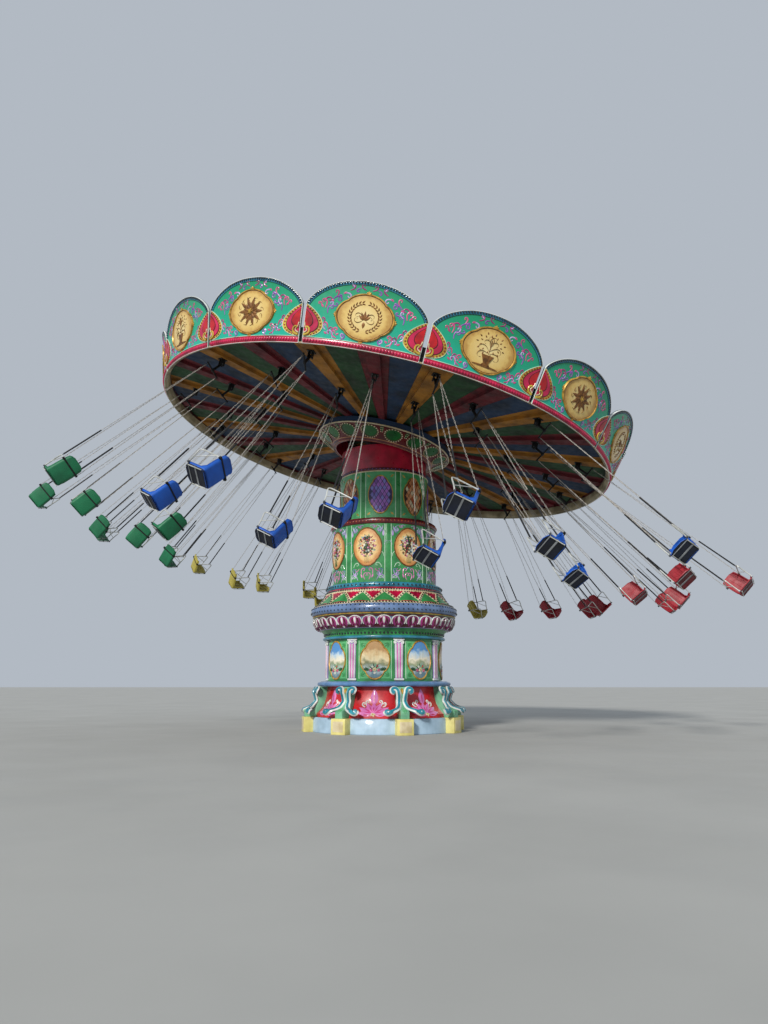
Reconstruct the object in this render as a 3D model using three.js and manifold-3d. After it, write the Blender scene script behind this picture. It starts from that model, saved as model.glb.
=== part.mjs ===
// Chair swing ride: a decorated stepped tower, a raised and tilted round roof with a
// scalloped crown, and thirty-six chain-hung seats flown outwards.
// Millimetres, +Z up, Z = 0 on the ground, the tower's axis on X = Y = 0.
import * as THREE from 'three';
import { mergeVertices } from 'three/addons/utils/BufferGeometryUtils.js';
import Module from 'manifold-3d';

const wasm = await Module();
wasm.setup();

// Driving dimensions.
const SEAT_GAP = 0.3;          // between pieces that rest on each other
const TOWER_SIDES = 24;        // facets round the tower
const PANELS = 8;              // painted panels and pilasters round the tower

const PLINTH_TOP = 350;
const PEDESTAL_TOP = 1050;
const PLATE_TOP = 1170;
const LOWER_DRUM_TOP = 2150;
const BLUE_RING_TOP = 2220;
const GREEN_COVE_TOP = 2380;
const SCALLOP_TOP = 2700;
const TORUS_TOP = 2950;
const TRIANGLE_COVE_TOP = 3350;
const BULB_RING_TOP = 3480;
const FLORAL_TOP = 4900;
const BEAD_TOP = 5050;
const LATTICE_BOTTOM = 4780;
const LATTICE_TOP = 6280;
const NECK_TOP = 6980;

const LOWER_DRUM_R = 1420;
const FLORAL_R = 1310;
const LATTICE_R = 1135;
const NECK_R = 1100;
const RING_BORE_R = 1210;      // the telescoping drum passes inside this

const PILASTER_TURN = -76.1;   // degrees from +X to the first pilaster

const ROOF_HEIGHT = 7230;      // hinge plane of the swings at the tower's axis
const ROOF_TILT = 12.68;       // degrees
const TILT_TOWARDS = 5.4;      // degrees from +X: the low side of the roof
const ROOF_R = 5700;
const CROWN_R = 5786;
const CROWN_PANELS = 15;
const CROWN_JOINT = 265.16 + 12;   // degrees to a joint between crown panels
const CROWN_LEAN = 17;         // degrees outwards
const CROWN_SIDE = 770;        // height of a panel at its sides
const CROWN_MIDDLE = 1310;     // height of a panel at its middle
const CROWN_BOTTOM = -88;
const RIM_BAND = 340;          // height of the band that runs on between the panels
const RIM_INNER_R = 5707.8;    // its facets then clear the deck's corners
const RIM_CHAMFER = 53;        // the chains of a high-flying swing pass under this
const RIM_SOLE = 25;           // flat width under the rim
const PANEL_THICKNESS = 45;
const PANEL_GAP = 0.35;        // degrees cleared at each side of a panel
const BEAM_BOTTOM = 115;
const DECK_BOTTOM = 185;
const DECK_TOP = 240;
const CONE_TOP = 900;
const TRUNNION_R = 110;        // pin that the roof tilts on

const BAYS = 12;
const BAY_START = 191.94;      // degrees to the first yellow beam
const OUTER_R = 5040;
const MIDDLE_R = 4280;
const INNER_R = 3275;

const HANGER_DROP = 280;       // pin to the spreader bar
const LUG_HALF = 25;           // half the thickness of a swing's lug
const SPREADER_HALF = 195;
const RIG_THICKNESS = 20;
const RIG_TOP_Y = 172;
const RIG_FOOT_Y = 181;
const SEAT_HALF = 195;
const SEAT_WALL = 25;
const SEAT_PITCH = 18;         // degrees that the seat leans back
const SEAT_BEND = [-190, -4680]; // where pan and back meet, from the pin

const COLOURS = {
  blue: 0x1f4f9a,
  red: 0xb3212c,
  yellow: 0xa89a3f,
  green: 0x12654f,
  paleBlue: 0x6fa3bf,
  crimson: 0x8f1230,
  teal: 0x1b8a82,
  deepBlue: 0x274b86,
  pink: 0xb8578f,
  leafGreen: 0x2f7d4a,
  grey: 0x6d7176,
  darkRed: 0x8a2430,
};

// Small helpers for solids.
const rad = THREE.MathUtils.degToRad;

/** Closes loose triangles into one body with its faces outwards. */
function solid(geometry) {
  const bare = geometry.index ? geometry.toNonIndexed() : geometry.clone();
  bare.deleteAttribute('normal');
  bare.deleteAttribute('uv');
  const merged = mergeVertices(bare, 1e-3);
  const position = merged.attributes.position;
  const source = merged.index.array;
  const triangles = [];
  let volume = 0;
  const a = new THREE.Vector3();
  const b = new THREE.Vector3();
  const c = new THREE.Vector3();
  for (let i = 0; i < source.length; i += 3) {
    const [p, q, r] = [source[i], source[i + 1], source[i + 2]];
    if (p === q || q === r || r === p) continue;
    triangles.push(p, q, r);
    a.fromBufferAttribute(position, p);
    b.fromBufferAttribute(position, q);
    c.fromBufferAttribute(position, r);
    volume += a.dot(b.cross(c));
  }
  if (volume < 0) {
    for (let i = 0; i < triangles.length; i += 3) {
      [triangles[i], triangles[i + 1]] = [triangles[i + 1], triangles[i]];
    }
  }
  return new wasm.Manifold(new wasm.Mesh({
    numProp: 3,
    vertProperties: new Float32Array(position.array),
    triVerts: new Uint32Array(triangles),
  }));
}

/** Surface of a body. */
function geometryOf(body) {
  const mesh = body.getMesh();
  const geometry = new THREE.BufferGeometry();
  geometry.setAttribute('position', new THREE.BufferAttribute(new Float32Array(mesh.vertProperties), 3));
  geometry.setIndex(new THREE.BufferAttribute(new Uint32Array(mesh.triVerts), 1));
  geometry.computeVertexNormals();
  return geometry;
}

function join(bodies) {
  return bodies.reduce((sum, next) => sum.add(next));
}

function boxBody(size, centre) {
  return solid(new THREE.BoxGeometry(...size).translate(...centre));
}

/** A ring or disc turned round Z from [radius, height] points of its section. */
function turned(section, sides = TOWER_SIDES, start = 0) {
  const points = section.map(([r, z]) => new THREE.Vector2(r, z));
  if (section[0][0] > 0 || section[section.length - 1][0] > 0) points.push(points[0].clone());
  const geometry = new THREE.LatheGeometry(points, sides);
  geometry.rotateX(Math.PI / 2);
  geometry.rotateZ(rad(start));
  return solid(geometry);
}

/** A prism of an outline in X and Z, drawn along Y and centred on it. */
function sideProfile(points, width) {
  const shape = new THREE.Shape(points.map(([x, z]) => new THREE.Vector2(x, z)));
  const geometry = new THREE.ExtrudeGeometry(shape, { depth: width, bevelEnabled: false });
  geometry.translate(0, 0, -width / 2);
  geometry.rotateX(Math.PI / 2);
  return solid(geometry);
}

function moved(body, matrix) {
  return solid(geometryOf(body).applyMatrix4(matrix));
}

function aroundZ(body, degrees) {
  return moved(body, new THREE.Matrix4().makeRotationZ(rad(degrees)));
}

const ride = new THREE.Group();
ride.name = 'chair_swing_ride';

function addPiece(name, body, colour, look = {}, matrix = null) {
  const material = new THREE.MeshStandardMaterial({
    color: colour,
    roughness: look.roughness ?? 0.45,
    metalness: look.metalness ?? 0.0,
  });
  const mesh = new THREE.Mesh(geometryOf(body), material);
  mesh.name = name;
  if (matrix) {
    mesh.applyMatrix4(matrix);
  }
  ride.add(mesh);
  return mesh;
}

// Plinth, pedestal and scroll legs.
function plinthBody() {
  const pieces = [turned([[0, 0], [1790, 0], [1790, PLINTH_TOP], [0, PLINTH_TOP]], 16, 360 / 32)];
  for (let i = 0; i < PANELS; i += 1) {
    const block = boxBody([420, 380, PLINTH_TOP], [1790, 0, PLINTH_TOP / 2]);
    pieces.push(aroundZ(block, PILASTER_TURN + i * 360 / PANELS));
  }
  return join(pieces);
}

function scrollLegBody() {
  const bottom = PLINTH_TOP + SEAT_GAP;
  const outline = [
    [1300, bottom], [1960, bottom], [1975, 500], [1800, 570],
    [1655, 720], [1725, 930], [1650, PEDESTAL_TOP], [1300, PEDESTAL_TOP],
  ];
  return sideProfile(outline, 250);
}

function pedestalBody() {
  const flare = turned([
    [0, PLINTH_TOP + SEAT_GAP], [1700, PLINTH_TOP + SEAT_GAP], [1690, 430],
    [1560, 560], [1470, 760], [1430, PEDESTAL_TOP], [0, PEDESTAL_TOP],
  ], 16, 360 / 32);
  const pieces = [flare];
  for (let i = 0; i < PANELS; i += 1) {
    pieces.push(aroundZ(scrollLegBody(), PILASTER_TURN + i * 360 / PANELS));
  }
  return join(pieces);
}

function lowerDrumBody() {
  const bottom = PLATE_TOP + SEAT_GAP;
  const pieces = [turned([
    [0, bottom], [LOWER_DRUM_R, bottom], [LOWER_DRUM_R, LOWER_DRUM_TOP], [0, LOWER_DRUM_TOP],
  ])];
  for (let i = 0; i < PANELS; i += 1) {
    const height = LOWER_DRUM_TOP - bottom;
    const post = boxBody([120, 250, height], [LOWER_DRUM_R - 25, 0, bottom + height / 2]);
    pieces.push(aroundZ(post, PILASTER_TURN + i * 360 / PANELS));
  }
  return join(pieces);
}

addPiece('plinth', plinthBody(), COLOURS.paleBlue, { roughness: 0.6 });
addPiece('pedestal', pedestalBody(), COLOURS.darkRed);
addPiece('base_plate', turned([
  [0, PEDESTAL_TOP + SEAT_GAP], [1600, PEDESTAL_TOP + SEAT_GAP], [1640, 1085], [1640, 1130],
  [1580, PLATE_TOP], [0, PLATE_TOP],
]), COLOURS.deepBlue);
addPiece('lower_drum', lowerDrumBody(), COLOURS.leafGreen);

// Cornice rings round the foot of the turning drum.
addPiece('blue_ring', turned([
  [0, LOWER_DRUM_TOP + SEAT_GAP], [1500, LOWER_DRUM_TOP + SEAT_GAP], [1525, 2185],
  [1500, BLUE_RING_TOP], [0, BLUE_RING_TOP],
]), COLOURS.deepBlue);
addPiece('green_cove', turned([
  [0, BLUE_RING_TOP + SEAT_GAP], [1475, BLUE_RING_TOP + SEAT_GAP], [1500, 2300],
  [1580, GREEN_COVE_TOP], [0, GREEN_COVE_TOP],
]), COLOURS.leafGreen);
addPiece('scallop_band', turned([
  [0, GREEN_COVE_TOP + SEAT_GAP], [1600, GREEN_COVE_TOP + SEAT_GAP], [1690, 2470],
  [1750, 2600], [1760, SCALLOP_TOP], [0, SCALLOP_TOP],
]), COLOURS.pink);
addPiece('blue_torus', turned([
  [0, SCALLOP_TOP + SEAT_GAP], [1775, SCALLOP_TOP + SEAT_GAP], [1825, 2760],
  [1830, 2840], [1800, 2910], [1755, TORUS_TOP], [0, TORUS_TOP],
]), COLOURS.deepBlue);
addPiece('triangle_cove', turned([
  [RING_BORE_R, TORUS_TOP + SEAT_GAP], [1745, TORUS_TOP + SEAT_GAP], [1620, 3060],
  [1500, 3200], [1430, TRIANGLE_COVE_TOP], [RING_BORE_R, TRIANGLE_COVE_TOP],
]), COLOURS.crimson);
addPiece('bulb_ring', turned([
  [RING_BORE_R, TRIANGLE_COVE_TOP + SEAT_GAP], [1430, TRIANGLE_COVE_TOP + SEAT_GAP], [1460, 3390],
  [1455, 3450], [1410, BULB_RING_TOP - 6], [1280, BULB_RING_TOP - 6], [1280, BULB_RING_TOP],
  [RING_BORE_R, BULB_RING_TOP],
]), COLOURS.deepBlue);

// Turning drum.
addPiece('floral_drum', turned([
  [RING_BORE_R, BULB_RING_TOP + SEAT_GAP], [FLORAL_R, BULB_RING_TOP + SEAT_GAP],
  [FLORAL_R, FLORAL_TOP], [RING_BORE_R, FLORAL_TOP],
]), COLOURS.leafGreen);
addPiece('bead_ring', turned([
  [LATTICE_R + 0.5, FLORAL_TOP + SEAT_GAP], [1310, FLORAL_TOP + SEAT_GAP], [1345, 4935],
  [1345, 5010], [1310, BEAD_TOP], [LATTICE_R + 0.5, BEAD_TOP],
]), COLOURS.darkRed);

// Rising drum and neck, with a saddle on top for the roof's trunnions.
addPiece('lattice_drum', turned([
  [0, LATTICE_BOTTOM], [LATTICE_R, LATTICE_BOTTOM], [LATTICE_R, LATTICE_TOP], [0, LATTICE_TOP],
]), COLOURS.leafGreen);

function neckBody() {
  const bottom = LATTICE_TOP + SEAT_GAP;
  const pieces = [turned([[0, bottom], [NECK_R, bottom], [NECK_R, NECK_TOP], [0, NECK_TOP]])];
  const top = ROOF_HEIGHT + 20;
  const clearR = (TRUNNION_R + 0.5) / Math.cos(Math.PI / 16);
  const bore = solid(new THREE.CylinderGeometry(clearR, clearR, 1400, 16).translate(0, 0, ROOF_HEIGHT));
  for (const side of [520, -520]) {
    const cheek = boxBody([320, 90, top - NECK_TOP + 20], [0, side, (top + NECK_TOP - 20) / 2]);
    pieces.push(cheek.subtract(bore));
  }
  return aroundZ(join(pieces), TILT_TOWARDS);
}

addPiece('neck', neckBody(), COLOURS.crimson);

// Roof frame: its plane holds the pins of all swings and leans to the low side.
const lowSide = new THREE.Vector3(Math.cos(rad(TILT_TOWARDS)), Math.sin(rad(TILT_TOWARDS)), 0);
const tiltAxis = new THREE.Vector3(0, 0, 1).cross(lowSide).normalize();
const roofTurn = new THREE.Quaternion().setFromAxisAngle(tiltAxis, rad(ROOF_TILT));
const roofMatrix = new THREE.Matrix4().compose(
  new THREE.Vector3(0, 0, ROOF_HEIGHT), roofTurn, new THREE.Vector3(1, 1, 1),
);
const roofNormal = new THREE.Vector3(0, 0, 1).applyQuaternion(roofTurn);

function tiltHeadBody() {
  const hub = turned([[0, -90], [420, -90], [420, 120], [680, 120], [680, 150], [0, 150]], 16);
  const pin = solid(new THREE.CylinderGeometry(TRUNNION_R, TRUNNION_R, 1240, 16));
  return aroundZ(join([hub, pin]), TILT_TOWARDS);
}

addPiece('tilt_head', tiltHeadBody(), COLOURS.grey, { metalness: 0.6 }, roofMatrix);

// Swings: where each one hangs and how it flies in the photograph.
function swingPlaces() {
  const places = [];
  const rings = [['outer', OUTER_R, 0], ['middle', MIDDLE_R, -15], ['inner', INNER_R, 0]];
  for (const [ring, radius, shift] of rings) {
    for (let bay = 0; bay < BAYS; bay += 1) {
      const azimuth = BAY_START + shift + bay * 360 / BAYS;
      places.push({ ring, bay, radius, azimuth });
    }
  }
  return places;
}

/** Degrees from plumb at which a swing flies. */
function flyAngle(azimuth, radius) {
  const byRing = 43.55 + 0.005046 * (radius - MIDDLE_R);
  return byRing - 1.88 * Math.cos(rad(azimuth + 104.75)) + 2.49 * Math.cos(rad(2 * azimuth - 15.77));
}

/** Degrees by which a swing leads or trails the radial direction. */
function leadAngle(azimuth) {
  return -3.84 - 13.86 * Math.cos(rad(azimuth - 92.4));
}

/** Unit vector from a swing's pin towards its seat. */
function hangDirection(azimuth, radius) {
  const fly = rad(flyAngle(azimuth, radius));
  const course = rad(azimuth - leadAngle(azimuth));
  return new THREE.Vector3(
    Math.sin(fly) * Math.cos(course), Math.sin(fly) * Math.sin(course), -Math.cos(fly),
  );
}

/** Position and turn of a swing: X along its hinge and travel, Z up its chains. */
function swingMatrix({ radius, azimuth }) {
  const pin = new THREE.Vector3(radius * Math.cos(rad(azimuth)), radius * Math.sin(rad(azimuth)), 0);
  pin.applyMatrix4(roofMatrix);
  const down = hangDirection(azimuth, radius);
  const travel = down.clone().cross(roofNormal).normalize();
  const up = down.clone().negate();
  return new THREE.Matrix4().makeBasis(travel, up.clone().cross(travel), up).setPosition(pin);
}

/** A bracket's frame: like its swing's, but upright on the roof. */
function bracketMatrix(place) {
  const swing = swingMatrix(place);
  const travel = new THREE.Vector3().setFromMatrixColumn(swing, 0);
  const pin = new THREE.Vector3().setFromMatrixPosition(swing);
  const across = roofNormal.clone().cross(travel);
  const upright = new THREE.Matrix4().makeBasis(travel, across, roofNormal).setPosition(pin);
  return roofMatrix.clone().invert().multiply(upright);
}

/** The plate that a swing's lug hangs beside. */
function bracketBody() {
  const height = BEAM_BOTTOM + 50;
  return boxBody([20, 110, height], [LUG_HALF + 0.4 + 10, 0, BEAM_BOTTOM + 10 - height / 2]);
}

function deckBody() {
  const race = BEAM_BOTTOM + 35 + SEAT_GAP;
  const plate = turned([
    [0, DECK_BOTTOM], [ROOF_R, DECK_BOTTOM], [ROOF_R, DECK_TOP], [0, DECK_TOP],
  ], 4 * CROWN_PANELS, CROWN_JOINT + 3);
  const hub = turned([[0, race], [600, race], [600, DECK_BOTTOM + 10], [0, DECK_BOTTOM + 10]], 16);
  const beamShape = new THREE.Shape([
    new THREE.Vector2(1580, -70), new THREE.Vector2(5640, -160),
    new THREE.Vector2(5640, 160), new THREE.Vector2(1580, 70),
  ]);
  const beamGeometry = new THREE.ExtrudeGeometry(beamShape, {
    depth: DECK_BOTTOM + 10 - BEAM_BOTTOM, bevelEnabled: false,
  }).translate(0, 0, BEAM_BOTTOM);
  const pieces = [plate, hub];
  for (let i = 0; i < 2 * BAYS; i += 1) {
    pieces.push(aroundZ(solid(beamGeometry), BAY_START + i * 180 / BAYS));
  }
  for (const place of swingPlaces()) {
    pieces.push(moved(bracketBody(), bracketMatrix(place)));
  }
  return join(pieces);
}

addPiece('deck', deckBody(), COLOURS.yellow, { roughness: 0.6 }, roofMatrix);

addPiece('collar', turned([
  [1228, -330], [1285, -330], [1340, -265], [1530, -145], [1745, -40],
  [1745, BEAM_BOTTOM - SEAT_GAP], [1690, BEAM_BOTTOM - SEAT_GAP], [1670, -10], [1228, -250],
]), COLOURS.leafGreen, {}, roofMatrix);

// Crown: a rim band that carries fifteen arched panels leaning outwards.
/** Columns of one panel: [degrees from its joint, height of its top]. */
function panelColumns() {
  const pitch = 360 / CROWN_PANELS;
  const segments = 6;
  const columns = [[PANEL_GAP - 0.02, RIM_BAND]];
  for (let i = 0; i <= segments; i += 1) {
    const t = -Math.cos(Math.PI * i / segments);
    const arch = Math.pow(Math.max(0, 1 - Math.pow(Math.abs(t), 2.2)), 0.7);
    const height = CROWN_SIDE + (CROWN_MIDDLE - CROWN_SIDE) * arch;
    columns.push([PANEL_GAP + (pitch - 2 * PANEL_GAP) * (t + 1) / 2, height]);
  }
  columns.push([pitch - PANEL_GAP + 0.02, RIM_BAND]);
  return columns;
}

function crownBody() {
  const lean = rad(CROWN_LEAN);
  const vertices = [];
  for (let panel = 0; panel < CROWN_PANELS; panel += 1) {
    for (const [offset, height] of panelColumns()) {
      const azimuth = rad(CROWN_JOINT + panel * 360 / CROWN_PANELS + offset);
      const outward = (rise) => CROWN_R + rise * Math.sin(lean);
      const upward = (rise) => CROWN_BOTTOM + rise * Math.cos(lean);
      const section = [
        [RIM_INNER_R, CROWN_BOTTOM + RIM_CHAMFER], [CROWN_R - RIM_SOLE, CROWN_BOTTOM],
        [CROWN_R, CROWN_BOTTOM], [outward(RIM_BAND / 2), upward(RIM_BAND / 2)],
        [outward(height), upward(height)], [outward(height) - PANEL_THICKNESS, upward(height)],
        [RIM_INNER_R, DECK_TOP],
      ];
      for (const [radius, z] of section) {
        vertices.push(radius * Math.cos(azimuth), radius * Math.sin(azimuth), z);
      }
    }
  }
  const corners = 7;
  const count = vertices.length / (3 * corners);
  const faces = [];
  for (let i = 0; i < count; i += 1) {
    const next = (i + 1) % count;
    for (let k = 0; k < corners; k += 1) {
      const [a, b] = [corners * i + k, corners * i + (k + 1) % corners];
      const [c, d] = [corners * next + k, corners * next + (k + 1) % corners];
      faces.push(a, c, d, a, d, b);
    }
  }
  const geometry = new THREE.BufferGeometry();
  geometry.setAttribute('position', new THREE.BufferAttribute(new Float32Array(vertices), 3));
  geometry.setIndex(faces);
  return solid(geometry);
}

addPiece('crown', crownBody(), COLOURS.teal, {}, roofMatrix);

addPiece('roof_cover', turned([
  [5600, DECK_TOP + SEAT_GAP], [5640, DECK_TOP + SEAT_GAP], [5640, 290], [300, CONE_TOP], [0, CONE_TOP],
  [0, CONE_TOP - 30], [295, CONE_TOP - 30], [5600, 262],
], 30), COLOURS.grey, { roughness: 0.7 }, roofMatrix);

/** Side view points of the level seat, leant back and moved to its place under the pin. */
function leantBack(points) {
  const [c, s] = [Math.cos(rad(SEAT_PITCH)), Math.sin(rad(SEAT_PITCH))];
  return points.map(([x, z]) => [SEAT_BEND[0] + x * c - z * s, SEAT_BEND[1] + x * s + z * c]);
}

// One chain-hung seat, with the origin at its pin: a pan and a back with low rims.
function tubBody() {
  const outer = sideProfile(leantBack([
    [0, 550], [55, 530], [58, 60], [400, 55], [430, 25], [430, 0], [20, 0], [0, 20],
  ]), 2 * SEAT_HALF);
  const cavity = sideProfile(leantBack([
    [25, 640], [25, 25], [500, 25], [500, 640],
  ]), 2 * (SEAT_HALF - SEAT_WALL));
  return outer.subtract(cavity);
}

/** Two chains and the arm frame of one side, as one flat loop that splays downwards. */
function sideRigBody(side) {
  const half = RIG_THICKNESS / 2;
  const shape = new THREE.Shape([
    [-20, -HANGER_DROP], [20, -HANGER_DROP], [35, -4035], [92, -4570], [66, -4570],
    [12, -4082], [-312, -4268], [-330, -4250],
  ].map(([x, z]) => new THREE.Vector2(x, z)));
  shape.holes.push(new THREE.Path([
    [0, -HANGER_DROP - 180], [-305, -4228], [14, -4040],
  ].map(([x, z]) => new THREE.Vector2(x, z))));
  const geometry = new THREE.ExtrudeGeometry(shape, { depth: RIG_THICKNESS, bevelEnabled: false });
  geometry.rotateX(Math.PI / 2);
  const position = geometry.attributes.position;
  for (let i = 0; i < position.count; i += 1) {
    const splay = RIG_TOP_Y + (RIG_FOOT_Y - RIG_TOP_Y) * (-HANGER_DROP - position.getZ(i)) / 4220;
    position.setY(i, side * (position.getY(i) + half + splay));
  }
  return solid(geometry);
}

function swingBody() {
  return join([
    boxBody([2 * LUG_HALF, 44, HANGER_DROP + 40], [0, 0, 30 - (HANGER_DROP + 40) / 2]),
    boxBody([38, 2 * SPREADER_HALF, 34], [0, 0, -HANGER_DROP - 5]),
    tubBody(),
    sideRigBody(1),
    sideRigBody(-1),
  ]);
}

function swingColour(bay) {
  if (bay >= 2 && bay <= 4) return COLOURS.blue;
  if (bay >= 5 && bay <= 7) return COLOURS.red;
  if (bay >= 8 && bay <= 10) return COLOURS.yellow;
  return COLOURS.green;
}

const swing = swingBody();
for (const place of swingPlaces()) {
  const name = `swing_${place.ring}_${String(place.bay + 1).padStart(2, '0')}`;
  addPiece(name, swing, swingColour(place.bay), { roughness: 0.35 }, swingMatrix(place));
}

export default ride;
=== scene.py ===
"""Chair swing ride, raised and tilted: its looks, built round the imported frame.

Metres, +Z up, Z = 0 on the ground, the tower's axis on X = Y = 0.
"""

import logging
import random
from contextlib import contextmanager
from dataclasses import dataclass
from enum import Enum
from math import atan2, copysign, cos, degrees, pi, radians, sin, tan
from typing import Callable, Iterator, Sequence

import bpy
import numpy as np
from mathutils import Matrix, Vector


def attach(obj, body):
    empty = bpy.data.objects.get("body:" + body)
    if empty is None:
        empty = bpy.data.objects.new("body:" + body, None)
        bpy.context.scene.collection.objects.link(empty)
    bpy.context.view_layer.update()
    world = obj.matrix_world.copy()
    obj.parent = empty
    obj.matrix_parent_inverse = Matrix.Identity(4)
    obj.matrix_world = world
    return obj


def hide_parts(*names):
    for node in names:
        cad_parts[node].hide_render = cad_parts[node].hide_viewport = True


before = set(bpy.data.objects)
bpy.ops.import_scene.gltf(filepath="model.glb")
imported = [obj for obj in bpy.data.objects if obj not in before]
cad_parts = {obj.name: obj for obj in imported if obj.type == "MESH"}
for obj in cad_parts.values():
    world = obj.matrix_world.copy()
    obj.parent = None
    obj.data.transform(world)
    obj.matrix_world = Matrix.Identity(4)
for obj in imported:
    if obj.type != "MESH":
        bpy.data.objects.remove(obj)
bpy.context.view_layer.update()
LOG = logging.getLogger("chair_swing_ride")

Point2 = tuple[float, float]
Point3 = tuple[float, float, float]
Line = tuple[Point2, ...]
Piece = bpy.types.Object
Tree = bpy.types.NodeTree
Socket = bpy.types.NodeSocket

# Roof frame: the plane of the hang pins, leaning to the low side.
ROOF_HEIGHT = 7.23
ROOF_TILT = radians(12.68)
TILT_TOWARDS = radians(5.4)
TILT_AXIS = Vector((-sin(TILT_TOWARDS), cos(TILT_TOWARDS), 0.0))
ROOF = Matrix.Translation((0, 0, ROOF_HEIGHT)) @ Matrix.Rotation(ROOF_TILT, 4, TILT_AXIS)
ROOF_NORMAL = (ROOF.to_3x3() @ Vector((0, 0, 1))).normalized()

BAYS = 12
BAY_START = 191.94  # degrees to the first yellow beam
ROOF_SIDES = 120  # faces round the widest rings
CROWN_RADIUS = 5.786  # foot of the leaning panels
CROWN_FOOT = -0.088
CROWN_LEAN = radians(17)
TOWER_PANELS = 8
HALF_PANEL = 22.5  # degrees from a pilaster to the middle of its panel
PILASTER_TURN = -76.1  # degrees to the first pilaster
POLE = 1e-4  # a ring this small is welded to one point
SEAT = 0.002  # how far laid-on work is let into the face that carries it
SMALL_CAP = 0.025  # caps under this radius are drawn with six sides
SMOOTH_UP_TO = radians(38)


class Body(str, Enum):
    """The moving bodies that carry the structure."""

    ROOT = "root"
    TURNING_DRUM = "turning_drum"
    RISING_MAST = "rising_mast"
    TILT_CRADLE = "tilt_cradle"
    ROOF = "roof"


class SeatColour(str, Enum):
    """The four colours of the moulded seats."""

    BLUE = "blue"
    RED = "red"
    YELLOW = "yellow"
    GREEN = "green"


# Finishes: one class per kind of coating, then the palette.


def linear(colour: str) -> tuple[float, float, float, float]:
    """Turn an sRGB hex colour to linear values.

    Args:
        colour: Six hex digits.
    Returns:
        Red, green, blue and an alpha of one.
    """
    parts = [int(colour[i:i + 2], 16) / 255 for i in (0, 2, 4)]
    return (*(p / 12.92 if p <= 0.04045 else ((p + 0.055) / 1.055) ** 2.4 for p in parts), 1.0)


def add_node(tree: Tree, kind: str, settings: dict | None = None,
             feeds: dict | None = None) -> bpy.types.Node:
    """Add a node with its settings and links.

    Args:
        tree: The material's node tree.
        kind: The node's type.
        settings: Properties to set.
        feeds: Input name or index to a value or to another node's output.
    Returns:
        The new node.
    """
    made = tree.nodes.new(kind)
    for key, value in (settings or {}).items():
        setattr(made, key, value)
    for key, source in (feeds or {}).items():
        if isinstance(source, Socket):
            tree.links.new(source, made.inputs[key])
        else:
            made.inputs[key].default_value = source
    return made


def ramp(tree: Tree, factor: Socket, stops: Sequence[tuple[float, str]]) -> Socket:
    """Lay hex colours along a factor.

    Args:
        tree: The material's node tree.
        factor: A socket from 0 to 1.
        stops: Position and colour pairs, in order.
    Returns:
        The colour socket.
    """
    made = add_node(tree, "ShaderNodeValToRGB", feeds={0: factor})
    elements = made.color_ramp.elements
    while len(elements) < len(stops):
        elements.new(1.0)
    for element, (position, colour) in zip(elements, stops):
        element.position = position
        element.color = linear(colour)
    return made.outputs[0]


@dataclass(frozen=True)
class Finish:
    """What every painted or bare surface shares."""

    name: str
    colour: str
    shade: str  # the same finish where it is worn, chalked or dirty
    roughness: float = 0.4
    patch_mm: float = 260.0  # size of a cloud of uneven colour
    grain_mm: float = 9.0  # size of the bumps; brush marks drawn coarser than real to show
    bump: float = 0.12
    metallic: float = 0.0
    coat: float = 0.0
    streaks: float = 0.35  # strength of the rain streaks down the face
    streak_shape: Point3 = (14.0, 14.0, 1.1)  # drawn out tall and thin

    def start(self) -> tuple[bpy.types.Material, Tree, bpy.types.Node]:
        """Open an empty material with its shader joined to the output."""
        material = bpy.data.materials.new(self.name)
        material.use_nodes = True
        tree = material.node_tree
        tree.nodes.clear()
        shader = add_node(tree, "ShaderNodeBsdfPrincipled")
        shader.inputs["Metallic"].default_value = self.metallic
        shader.inputs["Coat Weight"].default_value = self.coat
        shader.inputs["Coat Roughness"].default_value = 0.12
        add_node(tree, "ShaderNodeOutputMaterial", feeds={"Surface": shader.outputs[0]})
        return material, tree, shader

    def clouds(self, tree: Tree, where: Socket, size_mm: float, detail: float = 4.0) -> Socket:
        """Return a soft noise of a real size in millimetres."""
        made = add_node(tree, "ShaderNodeTexNoise", feeds={
            "Vector": where, "Scale": 1000.0 / size_mm, "Detail": detail})
        return made.outputs[0]

    def ground(self, tree: Tree, where: Socket) -> Socket:
        """Return the colour before dirt; plain paint is one clouded colour."""
        cloud = self.clouds(tree, where, self.patch_mm)
        return ramp(tree, cloud, [(0.35, self.shade), (0.62, self.colour)])

    def material(self) -> bpy.types.Material:
        """Build the material: colour, rain streaks, uneven gloss and a fine bump."""
        material, tree, shader = self.start()
        where = add_node(tree, "ShaderNodeTexCoord").outputs["Object"]
        colour = self.ground(tree, where)
        tall = add_node(tree, "ShaderNodeMapping", feeds={"Vector": where, "Scale": self.streak_shape})
        streak = add_node(
            tree, "ShaderNodeTexNoise", feeds={"Vector": tall.outputs[0], "Scale": 1.4, "Detail": 5.0})
        strength = add_node(tree, "ShaderNodeMapRange", feeds={
            0: streak.outputs[0], 1: 0.5, 2: 0.78, 3: 0.0, 4: self.streaks})
        dirty = add_node(tree, "ShaderNodeMix", {"data_type": "RGBA"}, {
            0: strength.outputs[0], 6: colour, 7: linear(self.shade)})
        gloss = add_node(tree, "ShaderNodeMapRange", feeds={
            0: self.clouds(tree, where, self.patch_mm / 3), 1: 0.3, 2: 0.7, 3: self.roughness * 0.8,
            4: min(1.0, self.roughness * 1.25)})
        bump = add_node(tree, "ShaderNodeBump", feeds={
            "Height": self.clouds(tree, where, self.grain_mm, 2.0), "Strength": self.bump,
            "Distance": 0.002})
        tree.links.new(dirty.outputs[2], shader.inputs["Base Color"])
        tree.links.new(gloss.outputs[0], shader.inputs["Roughness"])
        tree.links.new(bump.outputs[0], shader.inputs["Normal"])
        return material


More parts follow.
